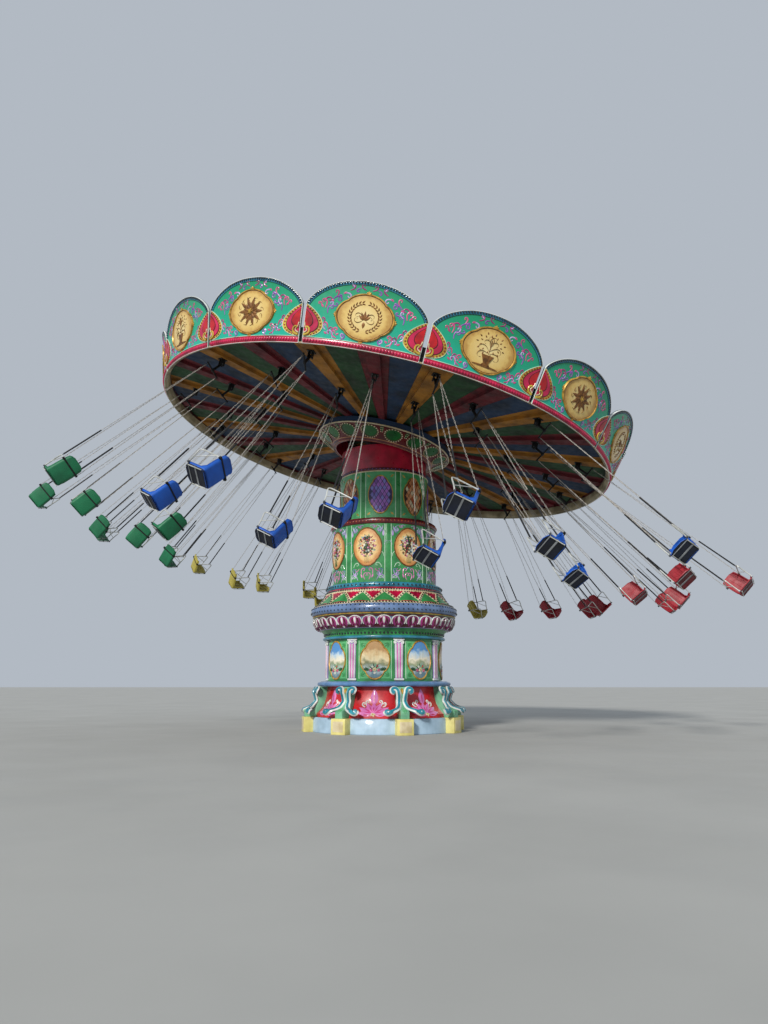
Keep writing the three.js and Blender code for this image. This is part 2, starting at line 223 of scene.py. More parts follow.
@dataclass(frozen=True)
class Enamel(Finish):
    """Brushed gloss enamel on sheet steel or plywood: a wet gloss with faint brush marks."""

    roughness: float = 0.32
    coat: float = 0.25


@dataclass(frozen=True)
class BoardPaint(Finish):
    """Flat paint on plywood boards, years old: chalky, nearly without a reflection."""

    roughness: float = 0.7
    patch_mm: float = 420.0
    bump: float = 0.25
    streaks: float = 0.5


@dataclass(frozen=True)
class Galvanised(Finish):
    """Hot-dip galvanised steel: dull silver with grey crystal spangles about 8 mm across."""

    roughness: float = 0.48
    metallic: float = 0.75
    spangle_mm: float = 8.0

    def ground(self, tree: Tree, where: Socket) -> Socket:
        """Return the spangle of the zinc."""
        cells = add_node(
            tree, "ShaderNodeTexVoronoi", feeds={"Vector": where, "Scale": 1000.0 / self.spangle_mm})
        value = add_node(tree, "ShaderNodeSeparateColor", feeds={0: cells.outputs["Color"]})
        return ramp(tree, value.outputs[0], [(0.0, self.shade), (1.0, self.colour)])


@dataclass(frozen=True)
class MouldedSeat(Finish):
    """Rotomoulded polyethylene: through-coloured, a soft waxy gloss with a fine pebble grain."""

    roughness: float = 0.5
    patch_mm: float = 300.0
    grain_mm: float = 4.0
    bump: float = 0.18
    streaks: float = 0.2


@dataclass(frozen=True)
class FadedPanel(Finish):
    """Crown ground: signwriter's enamel blended wet from one colour at the foot to another."""

    top: str = "000000"
    height: float = 1.3
    roughness: float = 0.34
    coat: float = 0.25

    def ground(self, tree: Tree, where: Socket) -> Socket:
        """Return the blend up the panel, with the brush's clouds in it."""
        flat = add_node(
            tree, "ShaderNodeSeparateXYZ", feeds={0: add_node(tree, "ShaderNodeTexCoord").outputs["UV"]})
        uneven = add_node(tree, "ShaderNodeMath", {"operation": "MULTIPLY_ADD"}, {
            0: self.clouds(tree, where, self.patch_mm), 1: 0.35, 2: flat.outputs[1]})
        share = add_node(
            tree, "ShaderNodeMath", {"operation": "DIVIDE"}, {0: uneven.outputs[0], 1: self.height + 0.2})
        return ramp(tree, share.outputs[0], [(0.12, self.colour), (0.55, self.shade), (1.0, self.top)])


@dataclass(frozen=True)
class Medallion(Finish):
    """Painted plaque, lighter in its middle and darkened towards its rim by painted shade under its frame."""

    # the darkest colour, at the rim: painted shade under the frame
    rim: str = "000000"
    middle: Point2 = (0.0, 0.0)
    reach: Point2 = (0.5, 0.5)
    roughness: float = 0.36
    coat: float = 0.3

    def ground(self, tree: Tree, where: Socket) -> Socket:
        """Return the colour by distance from the middle of the plaque, darkening to painted shade at its rim.
        """
        flat = add_node(tree, "ShaderNodeTexCoord").outputs["UV"]
        centred = add_node(tree, "ShaderNodeMapping", feeds={
            "Vector": flat,
            "Location": (-self.middle[0] / self.reach[0], -self.middle[1] / self.reach[1], 0.0),
            "Scale": (1 / self.reach[0], 1 / self.reach[1], 0.0)})
        away = add_node(tree, "ShaderNodeVectorMath", {"operation": "LENGTH"}, {0: centred.outputs[0]})
        uneven = add_node(tree, "ShaderNodeMath", {"operation": "MULTIPLY_ADD"}, {
            0: self.clouds(tree, where, 90.0), 1: 0.3, 2: away.outputs["Value"]})
        return ramp(tree, uneven.outputs[0], [(0.2, self.colour), (0.85, self.shade), (1.12, self.rim)])


@dataclass(frozen=True)
class CloudedSky(Finish):
    """Painted scene ground: sky blue above, cream haze across the middle, water below."""

    base: float = 1.2
    height: float = 0.9
    haze: str = "f0e6cc"
    high: str = "bcd3e2"
    coat: float = 0.3

    def ground(self, tree: Tree, where: Socket) -> Socket:
        """Return bands of soft colour up the plaque."""
        flat = add_node(
            tree, "ShaderNodeSeparateXYZ", feeds={0: add_node(tree, "ShaderNodeTexCoord").outputs["UV"]})
        share = add_node(tree, "ShaderNodeMapRange", feeds={
            0: flat.outputs[1], 1: self.base, 2: self.base + self.height})
        uneven = add_node(tree, "ShaderNodeMath", {"operation": "MULTIPLY_ADD"}, {
            0: self.clouds(tree, where, 130.0, 6.0), 1: 0.45, 2: share.outputs[0]})
        return ramp(tree, uneven.outputs[0], [
            (0.32, "5f7f8c"), (0.46, "aebfc0"), (0.6, self.shade), (0.74, self.haze), (0.9, self.high),
            (1.15, self.colour)])


FINISHES: dict[str, Finish] = {f.name.removesuffix("_enamel"): f for f in (
    FadedPanel("teal_enamel", "16b39c", "12a07c", top="0f8a58"),
    Enamel("arch_blue_enamel", "2f86a3", "1d6684"),
    Enamel("white_enamel", "e6e9e4", "c4c8c2", streaks=0.25),
    Enamel("cream_enamel", "e0d4b2", "bfae86"),
    Enamel("crimson_enamel", "b80f3d", "7d0a2a"),
    Enamel("rose_enamel", "cf1f55", "a8163f"),
    Enamel("scarlet_enamel", "c4121e", "8c0a16"),
    Enamel("pink_enamel", "d9508f", "a93a70"),
    Enamel("magenta_enamel", "a8327f", "6f1f58"),
    Enamel("purple_enamel", "8f58b4", "6d3f90"),
    Enamel("lilac_enamel", "c3abdb", "9c86c0"),
    Enamel("yellow_enamel", "d8bd45", "9c7f28"),
    Enamel("oxblood_enamel", "5d0d1c", "360811"),
    Enamel("drum_green_enamel", "3a9150", "2c7440"),
    Enamel("light_green_enamel", "63b878", "4a9860"),
    Enamel("mast_green_enamel", "4fab6c", "3c8c54"),
    Enamel("bottle_green_enamel", "175a2c", "0d3d1d"),
    Enamel("bouquet_green_enamel", "3c4a34", "26301f"),
    Enamel("pale_line_enamel", "cfe8d0", "a8c8ac"),
    Enamel("torus_blue_enamel", "6c87b0", "566e96"),
    Enamel("ring_blue_enamel", "2f86a0", "236a82"),
    Enamel("plate_blue_enamel", "6590c0", "4f76a6"),
    Enamel("leg_teal_enamel", "2c93a6", "1d6a7a"),
    Enamel("foot_green_enamel", "7fbf98", "5a9474"),
    Enamel("plinth_blue_enamel", "aac4d8", "93adbf", roughness=0.5),
    Enamel("plinth_yellow_enamel", "e4d98a", "c9bd70", roughness=0.5),
    Enamel("flare_red_enamel", "cc1a24", "a8141b"),
    Enamel("leaf_pink_enamel", "e288c2", "c468a4"),
    Enamel("neck_crimson_enamel", "ba1637", "8c0f28", coat=0.6, streaks=0.4),
    # Lacquered metal leaf: warm, with a broad soft highlight.
    Finish("gold_leaf", "d2a54a", "8f6826", roughness=0.38, metallic=0.3, patch_mm=90.0),
    Finish("antique_gold", "8f5f2c", "5d3b1a", roughness=0.5, metallic=0.25, patch_mm=60.0),
    # Plaques: darker towards the rim, painted shade under their frames.
    Medallion("gilt_plaque_enamel", "ead79a", "d9b86a", rim="b98f48", middle=(0.0, 0.617),
              reach=(0.56, 0.49)),
    Medallion("peach_plaque_enamel", "efe0b4", "e6bf7c", rim="c98a4a", middle=(0.0, 0.855),
              reach=(0.36, 0.46)),
    CloudedSky("sky_plaque_enamel", "4f8fcb", "8e9b74", base=0.07, height=0.84),
    CloudedSky("dusk_plaque_enamel", "b98f5c", "7f8460", base=0.07, height=0.84, haze="ead9ae",
               high="dcbf8c"),
    Enamel("roundel_green_enamel", "14682c", "0d4a1e", coat=0.1),
    Enamel("collar_red_enamel", "6a131c", "430b13", coat=0.15),
    Enamel("window_blue_enamel", "8c86d2", "6f68b8"),
    Enamel("window_violet_enamel", "ab70cc", "8c54ac"),
    Enamel("indigo_enamel", "35245f", "221640"),
    Enamel("umber_enamel", "4a2a1c", "2c170e"),
    Enamel("peach_enamel", "e6a878", "b9764a"),
    Enamel("rust_enamel", "b5532a", "7d3518"),
    # Ceiling boards: colours darkened as painted shade under the roof.
    BoardPaint("ceiling_yellow_paint", "a8701c", "6f4810"),
    BoardPaint("ceiling_green_paint", "1d4a26", "102c16"),
    BoardPaint("ceiling_red_paint", "6e1420", "420b13"),
    BoardPaint("ceiling_blue_paint", "1b3757", "0f2136"),
    BoardPaint("rim_cream_paint", "b9ab8a", "7c6f54"),
    BoardPaint("cover_grey_paint", "8d9499", "62696d", streaks=0.8),
    BoardPaint("panel_back_paint", "7b8a8c", "566163", streaks=0.7),
    # Oiled black steel: castings and gap edges.
    Finish("black_steel", "1c1d1f", "0e0e0f", roughness=0.5, metallic=0.4, grain_mm=5.0, bump=0.3),
    Finish("grey_steel", "6b7076", "43474b", roughness=0.45, metallic=0.6, grain_mm=6.0, bump=0.2),
    # Bulb caps: dark tinted glass over a small lamp, hard bright points of light.
    Finish("bulb_glass", "152a33", "0a161c", roughness=0.08, coat=1.0, streaks=0.0, bump=0.0),
    Finish("tube_white_paint", "c9cbc6", "94968f", roughness=0.35, grain_mm=4.0, coat=0.2),
    Finish("strap_grey_paint", "8f9396", "6a6e71", roughness=0.5, grain_mm=4.0),
    Galvanised("galvanised_steel", "bdb8b0", "938e86", roughness=0.62, metallic=0.2),
    # PVC hose over the chain where hands hold it: dull black.
    Finish("sleeve_pvc", "17181a", "0c0c0d", roughness=0.55, grain_mm=3.0, bump=0.1, streaks=0.0),
    MouldedSeat("seat_blue_polyethylene", "0f58bc", "0c4ca4"),
    MouldedSeat("seat_red_polyethylene", "9e1a2a", "881623"),
    MouldedSeat("seat_yellow_polyethylene", "b3a648", "a0943e"),
    MouldedSeat("seat_green_polyethylene", "107048", "0d603e"),
    # Pan undersides: the same plastic, darkened as painted shade under the seat.
    MouldedSeat("seat_blue_underside", "07132a", "040a16", roughness=0.65),
    MouldedSeat("seat_red_underside", "7a1422", "4c0c15", roughness=0.55),
    MouldedSeat("seat_yellow_underside", "78702c", "544e1e", roughness=0.55),
    MouldedSeat("seat_green_underside", "083826", "052418", roughness=0.65),
)}
_made: dict[str, bpy.types.Material] = {}


def finish_of(name: str) -> bpy.types.Material:
    """Return the material of a named finish, built on its first use."""
    if name not in _made:
        _made[name] = FINISHES[name].material()
    return _made[name]


# Mesh work.


def only(piece: Piece) -> None:
    """Select one piece and make it active."""
    bpy.ops.object.select_all(action="DESELECT")
    piece.select_set(True)
    bpy.context.view_layer.objects.active = piece


def add(primitive: Callable, **settings) -> Piece:
    """Add a primitive at its size and place, with that place in its mesh."""
    bpy.ops.object.select_all(action="DESELECT")
    primitive(**settings)
    made = bpy.context.active_object
    bpy.ops.object.transform_apply(location=True, rotation=True, scale=True)
    return made


@contextmanager
def editing(piece: Piece) -> Iterator[None]:
    """Edit a piece with all of it selected, and leave edit mode afterwards."""
    only(piece)
    bpy.ops.object.mode_set(mode="EDIT")
    bpy.ops.mesh.select_all(action="SELECT")
    yield
    bpy.ops.object.mode_set(mode="OBJECT")


def points_of(piece: Piece) -> np.ndarray:
    """Return the piece's points, one row each."""
    found = np.empty(3 * len(piece.data.vertices))
    piece.data.vertices.foreach_get("co", found)
    return found.reshape(-1, 3)


def put(piece: Piece, points: Sequence) -> None:
    """Move the piece's points to new places."""
    piece.data.vertices.foreach_set("co", np.asarray(points, float).ravel())
    piece.data.update()


def painted(piece: Piece, finish: str | None) -> Piece:
    """Give the whole piece one finish, or leave it bare."""
    if finish:
        piece.data.materials.clear()
        piece.data.materials.append(finish_of(finish))
    return piece


def sealed(piece: Piece, finish: str | None = None) -> Piece:
    """Weld doubled points, drop loose ones, turn the faces outwards and paint them."""
    with editing(piece):
        bpy.ops.mesh.remove_doubles(threshold=2.5 * POLE)
        bpy.ops.mesh.delete_loose()
        bpy.ops.mesh.normals_make_consistent(inside=False)
    return painted(piece, finish)


def draw_up(size: float, height: float, rings: Sequence[Point2], middle: Point2 = (0.0, 0.0)) -> None:
    """Extrude what is selected from ring to ring, in edit mode.

    Args:
        size: Size of its first ring.
        height: Height of its first ring.
        rings: Size and height of each next ring.
        middle: The point that the rings grow and shrink about.
    """
    for next_size, next_height in rings:
        bpy.ops.mesh.extrude_region_move(TRANSFORM_OT_translate={"value": (0, 0, next_height - height)})
        grow = next_size / size
        bpy.ops.transform.resize(value=(grow, grow, 1), center_override=(*middle, next_height))
        size, height = next_size, next_height


def turned(section: Sequence[Point2], finish: str, sides: int = 96) -> Piece:
    """Turn a closed section round Z by drawing one ring up along it.

    Args:
        section: [radius, height] points; on the axis at both ends for a solid.
        finish: Its finish.
        sides: Points round the ring.
    Returns:
        The closed piece.
    """
    points = [(max(radius, POLE), height) for radius, height in section]
    if section[0][0] > 0:
        points.append(points[0])
    radius, height = points[0]
    piece = add(bpy.ops.mesh.primitive_circle_add, vertices=sides, radius=radius, location=(0, 0, height))
    with editing(piece):
        draw_up(radius, height, points[1:])
    return sealed(piece, finish)


def drum_shell(radius: float, foot: float, top: float, finish: str, bore: float = 0.0) -> Piece:
    """Turn a plain drum, solid or with a bore."""
    return turned([(bore, foot), (radius, foot), (radius, top), (bore, top)], finish)


def medal(outline: Sequence[Point2], steps: Sequence[Point2], finish: str,
          middle: Point2 = (0.0, 0.0)) -> Piece:
    """Raise a moulded plaque on an outline.

    Args:
        outline: Points round the rim.
        steps: Share of the outline's size and height, from the rim inwards.
        finish: Its finish.
        middle: The point that the rings shrink towards.
    Returns:
        The closed plaque, with its back at z = 0.
    """
    piece = add(bpy.ops.mesh.primitive_circle_add, vertices=len(outline), radius=1)
    put(piece, [(x, y, 0) for x, y in outline])
    with editing(piece):
        draw_up(1.0, 0.0, steps, middle)
        bpy.ops.mesh.remove_doubles(threshold=POLE)
        bpy.ops.mesh.select_all(action="DESELECT")
        bpy.ops.mesh.select_non_manifold()
        bpy.ops.mesh.edge_face_add()
    return sealed(piece, finish)


def plate(outline: Sequence[Point2], thickness: float, finish: str, edge: float = 0.0,
          cuts: float = 0.0) -> Piece:
    """Cut a flat plate to an outline.

    Args:
        outline: Points round it.
        thickness: Its thickness.
        finish: Its finish.
        edge: Width of the eased edge.
        cuts: Distance between the upright lines that let it bend to a wall.
    Returns:
        The closed plate, with its back at z = 0.
    """
    piece = add(bpy.ops.mesh.primitive_circle_add, vertices=len(outline), radius=1, fill_type="NGON")
    put(piece, [(x, y, 0) for x, y in outline])
    with editing(piece):
        bpy.ops.mesh.extrude_region_move(TRANSFORM_OT_translate={"value": (0, 0, thickness - edge / 2)})
        if edge:
            bpy.ops.mesh.inset(thickness=edge, depth=edge / 2)
        if cuts:
            low, high = min(x for x, _ in outline), max(x for x, _ in outline)
            for place in np.arange(low + cuts, high - cuts / 4, cuts):
                bpy.ops.mesh.select_all(action="SELECT")
                bpy.ops.mesh.bisect(plane_co=(place, 0, 0), plane_no=(1, 0, 0))
    return sealed(piece, finish)


def block(size: Sequence[float], centre: Sequence[float], finish: str | None = None,
          ease: float = 0.0) -> Piece:
    """Make a block with eased edges."""
    piece = add(bpy.ops.mesh.primitive_cube_add, size=1, location=centre, scale=size)
    if ease:
        with editing(piece):
            bpy.ops.mesh.bevel(offset=ease, segments=2, affect="EDGES")
    return painted(piece, finish)


def tube(line: Sequence[Sequence[float]], radius: float, finish: str, taper: Sequence[float] | None = None,
         rounds: int = 2, smooth: int = 3, closed: bool = False) -> Piece:
    """Bend a round bar along a line.

    Args:
        line: Its points, flat or in space.
        radius: The bar's radius.
        finish: Its finish.
        taper: Share of the radius at each point.
        rounds: Steps in each quarter of the bar's section.
        smooth: Steps between points; 1 keeps the corners.
        closed: Whether the line comes back to its start.
    Returns:
        The bar as a closed mesh.
    """
    bpy.ops.object.select_all(action="DESELECT")
    bpy.ops.curve.primitive_nurbs_path_add()
    curve = bpy.context.active_object.data
    curve.splines.clear()
    spline = curve.splines.new("NURBS" if smooth > 1 else "POLY")
    spline.points.add(len(line) - 1)
    for index, (point, place) in enumerate(zip(spline.points, line)):
        point.co = (*place, *([0.0] * (3 - len(place))), 1.0)
        point.radius = taper[index] if taper else 1.0
    spline.order_u = 3
    spline.use_endpoint_u = not closed
    spline.use_cyclic_u = closed
    curve.resolution_u = smooth
    curve.bevel_depth = radius
    curve.bevel_resolution = rounds - 1
    curve.use_fill_caps = not closed
    bpy.ops.object.convert(target="MESH")
    return sealed(bpy.context.active_object, finish)


def loop(radius: float, wire: float, place: Sequence[float]) -> Piece:
    """Make a steel ring that stands across the swing's travel."""
    ring = add(bpy.ops.mesh.primitive_torus_add, major_radius=radius, minor_radius=wire, major_segments=8,
               minor_segments=4, location=place, rotation=(pi / 2, 0, 0))
    return painted(ring, "grey_steel")


def pin(radius: float, length: float, sides: int, place: Sequence[float] = (0, 0, 0),
        turn: Sequence[float] = (0, 0, 0)) -> Piece:
    """Make a steel pin or bolt head."""
    made = add(bpy.ops.mesh.primitive_cylinder_add, vertices=sides, radius=radius, depth=length,
               location=place, rotation=turn)
    return painted(made, "grey_steel")


def flattened(piece: Piece, share: float, lift: float = 0.0) -> Piece:
    """Flatten a piece in Z and lift it."""
    piece.data.transform(Matrix.Translation((0, 0, lift)) @ Matrix.Diagonal((1, 1, share, 1)))
    return piece


def moved(piece: Piece, x: float, y: float, z: float) -> Piece:
    """Move a piece in its mesh."""
    piece.data.transform(Matrix.Translation((x, y, z)))
    return piece


def joined(pieces: Sequence[Piece]) -> Piece:
    """Join pieces into the first, each keeping its finish."""
    bpy.ops.object.select_all(action="DESELECT")
    for piece in pieces:
        piece.select_set(True)
    bpy.context.view_layer.objects.active = pieces[0]
    if len(pieces) > 1:
        bpy.ops.object.join()
    return pieces[0]


def copied(piece: Piece, place: Matrix) -> Piece:
    """Copy a piece, with a mesh of its own, to another place."""
    copy = piece.copy()
    copy.data = piece.data.copy()
    copy.data.transform(place)
    bpy.context.scene.collection.objects.link(copy)
    return copy


def cut_away(piece: Piece, test: Callable[[bpy.types.MeshPolygon], bool]) -> None:
    """Delete the faces that pass a test."""
    with editing(piece):
        bpy.ops.mesh.select_mode(type="FACE")
        bpy.ops.mesh.select_all(action="DESELECT")
    for face in piece.data.polygons:
        face.select = test(face)
    only(piece)
    bpy.ops.object.mode_set(mode="EDIT")
    bpy.ops.mesh.delete(type="FACE")
    bpy.ops.mesh.select_mode(type="VERT")
    bpy.ops.object.mode_set(mode="OBJECT")


def repeated(piece: Piece, places: Sequence[Matrix]) -> Piece:
    """Copy a piece to every place, join the copies and drop the first one."""
    copies = [copied(piece, place) for place in places]
    bpy.data.objects.remove(piece)
    return joined(copies)


def turns(count: int, start: float = 0.0) -> list[Matrix]:
    """Return even turns round Z, from a start in degrees."""
    return [Matrix.Rotation(radians(start + 360 * i / count), 4, "Z") for i in range(count)]


def settle(piece: Piece, name: str, body: str, replaces: Sequence[str] = (),
           place: Matrix | None = None) -> Piece:
    """Name a finished piece, set it in its place and let it ride.

    Args:
        piece: The finished mesh.
        name: Its name.
        body: The body that it moves with.
        replaces: The CAD nodes that it stands for.
        place: A last move, such as the roof's tilt.
    Returns:
        The same piece.
    """
    if place is not None:
        piece.data.transform(place)
    only(piece)
    bpy.ops.object.shade_smooth_by_angle(angle=SMOOTH_UP_TO)
    piece.name = piece.data.name = name
    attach(piece, str(body.value if isinstance(body, Enum) else body))
    if replaces:
        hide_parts(*replaces)
    LOG.info("%s: %d faces", name, len(piece.data.polygons))
    return piece


@dataclass(frozen=True)
class Wall:
    """A turned wall that flat work is bent onto: x round it, y up it, z out of it."""

    section: Line  # [radius, height] points from its foot upwards
    ruled: float | None = None  # radius at which x is a true length

    def fit(self, piece: Piece) -> Piece:
        """Bend a flat piece onto the wall at azimuth 0, and keep its flat places as its UV map."""
        flat = points_of(piece)
        radii, heights = (np.array(v) for v in zip(*self.section))
        runs = np.hypot(np.diff(radii), np.diff(heights))
        along = np.concatenate([[0], np.cumsum(runs)])
        index = np.clip(np.searchsorted(along, flat[:, 1], side="right") - 1, 0, len(runs) - 1)
        rise = (flat[:, 1] - along[index]) / runs[index]
        step_r, step_z = np.diff(radii)[index], np.diff(heights)[index]
        radius = radii[index] + rise * step_r + flat[:, 2] * step_z / runs[index]
        height = heights[index] + rise * step_z - flat[:, 2] * step_r / runs[index]
        turn = flat[:, 0] / (self.ruled or float(radii.mean()))
        while piece.data.uv_layers:
            piece.data.uv_layers.remove(piece.data.uv_layers[0])
        layer = piece.data.uv_layers.new(name="flat")
        corners = np.empty(len(piece.data.loops), int)
        piece.data.loops.foreach_get("vertex_index", corners)
        layer.data.foreach_set("uv", flat[corners, :2].ravel())
        put(piece, np.column_stack([radius * np.cos(turn), radius * np.sin(turn), height]))
        return piece


def drum_wall(radius: float, foot: float, height: float) -> Wall:
    """Return the wall of a straight drum, a little inside its face so that what lies on it is seated."""
    return Wall(((radius - SEAT, foot), (radius - SEAT, foot + height)))


# Shapes of the ornament.


def oval(half_width: float, half_height: float, middle: Point2 = (0.0, 0.0), lobes: float = 0.0,
         count: int = 48) -> list[Point2]:
    """Outline of an oval, or with lobes of a barbed quatrefoil."""
    points = []
    for i in range(count):
        angle = 2 * pi * i / count
        swell = 1 + lobes * (abs(cos(2 * angle)) ** 0.7 - 0.6)
        points.append(
            (middle[0] + half_width * swell * cos(angle), middle[1] + half_height * swell * sin(angle)))
    return points


def rectangle(half: float, low: float, high: float) -> list[Point2]:
    """Outline of a rectangle that stands across x = 0."""
    return [(-half, low), (half, low), (half, high), (-half, high)]


def scaled(outline: Sequence[Point2], wide: float, tall: float, up: float) -> list[Point2]:
    """Outline at these shares of its width and height, about a point this far up."""
    return [(x * wide, up + (y - up) * tall) for x, y in outline]


def curl(start: Point2, heading: float, length: float, turn: float, count: int = 16) -> list[Point2]:
    """Line that leaves its start nearly straight and winds up more and more tightly.

    Args:
        start: First point.
        heading: Degrees from +X at the start.
        length: Length of the line.
        turn: Degrees turned in all, minus for clockwise.
        count: Steps along it.
    Returns:
        The line's points.
    """
    x, y = start
    line = [(x, y)]
    for i in range(count):
        share = (i + 0.5) / count
        angle = radians(heading + turn * share ** 2.2)
        x += length / count * cos(angle)
        y += length / count * sin(angle)
        line.append((x, y))
    return line


def mirrored(points: Sequence[Point2]) -> list[Point2]:
    """Mirror points left to right."""
    return [(-x, y) for x, y in points]


def polar(radius: float, heading: float, up: float = 0.0) -> Point2:
    """Point at a radius and an angle about a point this far up."""
    return (radius * cos(radians(heading)), up + radius * sin(radians(heading)))


def scroll(line: Sequence[Point2], width: float, finish: str, height: float = 0.007) -> Piece:
    """Paint stroke with a little body: thick in its middle, fine at its start, a drop at its end."""
    count = len(line)
    taper = [0.35 + 0.75 * sin(pi * min(1.0, 0.15 + 0.85 * i / (count - 1))) for i in range(count)]
    taper[-1] = 1.0
    bar = tube(line, width / 2, finish, taper, rounds=1, smooth=2)
    return flattened(bar, 2 * height / width, 0.002)


def scroll_pair(start: Point2, heading: float, length: float, turn: float, width: float, finish: str,
                height: float = 0.008, count: int = 9) -> list[Piece]:
    """Scrolled stroke and its mirror image; see curl and scroll for the sizes."""
    line = curl(start, heading, length, turn, count)
    return [scroll(side, width, finish, height) for side in (line, mirrored(line))]


def upright_pair(x: float, low: float, high: float, width: float, thickness: float,
                 finish: str) -> list[Piece]:
    """Upright moulding and its mirror image."""
    line = [(x, low), (x, high)]
    return [strip(side, width, thickness, finish) for side in (line, mirrored(line))]


def leaf(base: Point2, heading: float, length: float, width: float, finish: str,
         height: float = 0.01, steps: int = 7) -> Piece:
    """Pointed leaf with a raised middle."""
    turn = radians(heading)
    outline = []
    for side in (1, -1):
        for share in np.linspace(*((0, 1) if side == 1 else (1, 0)), steps)[:-1]:
            out = side * width / 2 * sin(pi * share ** 0.8)
            along = length * share
            outline.append((base[0] + along * cos(turn) - out * sin(turn),
                            base[1] + along * sin(turn) + out * cos(turn)))
    ridge = 0.45 * length  # the leaf is highest a little before its middle
    middle = (base[0] + ridge * cos(turn), base[1] + ridge * sin(turn))
    return medal(outline, [(0.9, height * 0.6), (0, height)], finish, middle)


def leaf_pair(base: Point2, heading: float, length: float, width: float, finish: str,
              height: float = 0.01, steps: int = 7) -> list[Piece]:
    """Leaf and its mirror image."""
    size = (length, width, finish, height, steps)
    return [leaf(base, heading, *size), leaf((-base[0], base[1]), 180 - heading, *size)]


def corner_sprays(foot: Point2, up: float, slope: float, leaves: Sequence[tuple[float, float, str]],
                  width: float, height: float) -> list[Piece]:
    """Spray of leaves in each corner of a panel, pointing inwards.

    Args:
        foot: How far from the panel's middle the leaves spring, across and up.
        up: Height of the panel's middle.
        slope: Rise for a run of one of the middle leaf.
        leaves: Turn, length and finish of each leaf.
        width: Their width.
        height: Their height above the panel.
    Returns:
        The leaves of all four corners.
    """
    shapes = []
    for side_x, side_y in ((-1, -1), (1, -1), (-1, 1), (1, 1)):
        base = (side_x * foot[0], up + side_y * foot[1])
        heading = degrees(atan2(-side_y * slope, -side_x))
        shapes += [leaf(base, heading + turn, length, width, finish, height)
                   for turn, length, finish in leaves]
    return shapes


def blossom(middle: Point2, radius: float, finish: str, heart: str = "yellow") -> Piece:
    """Five-petalled flower with a bead in its middle."""
    outline = []
    for i in range(20):
        angle = 2 * pi * i / 20
        reach = radius * (0.78 + 0.22 * cos(5 * angle))
        outline.append((middle[0] + reach * cos(angle), middle[1] + reach * sin(angle)))
    petals = medal(outline, [(0.8, 0.008), (0, 0.006)], finish, middle)
    bead = medal(
        oval(radius * 0.26, radius * 0.26, middle, count=8), [(0.8, 0.01), (0, 0.013)], heart, middle)
    return joined([petals, bead])


def cap(radius: float, finish: str = "bulb_glass") -> Piece:
    """Half-round lamp cap or stud that stands out along Z."""
    ring = oval(radius, radius, count=6 if radius < SMALL_CAP else 8)
    return medal(ring, [(0.84, radius * 0.6), (0, radius)], finish)


def caps_along(line: Sequence[Point2], spacing: float, radius: float, finish: str = "bulb_glass",
               lift: float = 0.0) -> Piece:
    """Row of lamp caps along a line."""
    points = np.array(line)
    steps = np.hypot(*np.diff(points, axis=0).T)
    along = np.concatenate([[0], np.cumsum(steps)])
    count = max(1, round(along[-1] / spacing))
    marks = (np.arange(count) + 0.5) * along[-1] / count
    return repeated(cap(radius, finish), [
        Matrix.Translation((np.interp(m, along, points[:, 0]), np.interp(m, along, points[:, 1]), lift))
        for m in marks])


def caps_round(radius: float, height: float, count: int, size: float, finish: str = "bulb_glass",
               tilt: float = 0.0) -> Piece:
    """Lamp caps round the tower, facing outwards and this many degrees upwards."""
    one = cap(size, finish)
    one.data.transform(Matrix.Translation((radius, 0, height)) @ Matrix.Rotation(radians(90 - tilt), 4, "Y"))
    return repeated(one, turns(count))


def strip(line: Sequence[Point2], width: float, thickness: float, finish: str, rounds: int = 2,
          smooth: int = 1) -> Piece:
    """Flat moulding with rounded edges along a line."""
    return flattened(tube(line, width / 2, finish, rounds=rounds, smooth=smooth), 2 * thickness / width)


# The tower, from the ground up.


@dataclass
class Plinth:
    """Low round step with a block under each leg."""

    radius: float = 1.79
    height: float = 0.35
    reveal: float = 0.004  # how far the step stays under the blocks' tops
    block_size: Point2 = (0.42, 0.38)
    face: Point3 = (0.1368, 0.06, 0.29)  # half width, foot and head of the pale field

    def build(self) -> None:
        """Build the step, then its blocks, each with a pale field on its face."""
        top = self.height - self.reveal
        step = turned([
            (0, 0), (self.radius - 0.01, 0), (self.radius, 0.012), (self.radius, self.height - 0.03),
            (self.radius - 0.02, top), (0, top)], "plinth_blue")
        deep, wide = self.block_size
        body = block((deep, wide, self.height), (self.radius, 0, self.height / 2), "plinth_yellow", 0.012)
        face = plate(rectangle(*self.face), 0.008, "cream", 0.006)
        face.data.transform(
            Matrix(((0, 0, 1, self.radius + deep / 2 - 0.001), (1, 0, 0, 0), (0, 1, 0, 0), (0, 0, 0, 1))))
        blocks = repeated(joined([body, face]), turns(TOWER_PANELS, PILASTER_TURN))
        settle(joined([step, blocks]), "plinth_steps", Body.ROOT, ["plinth"])


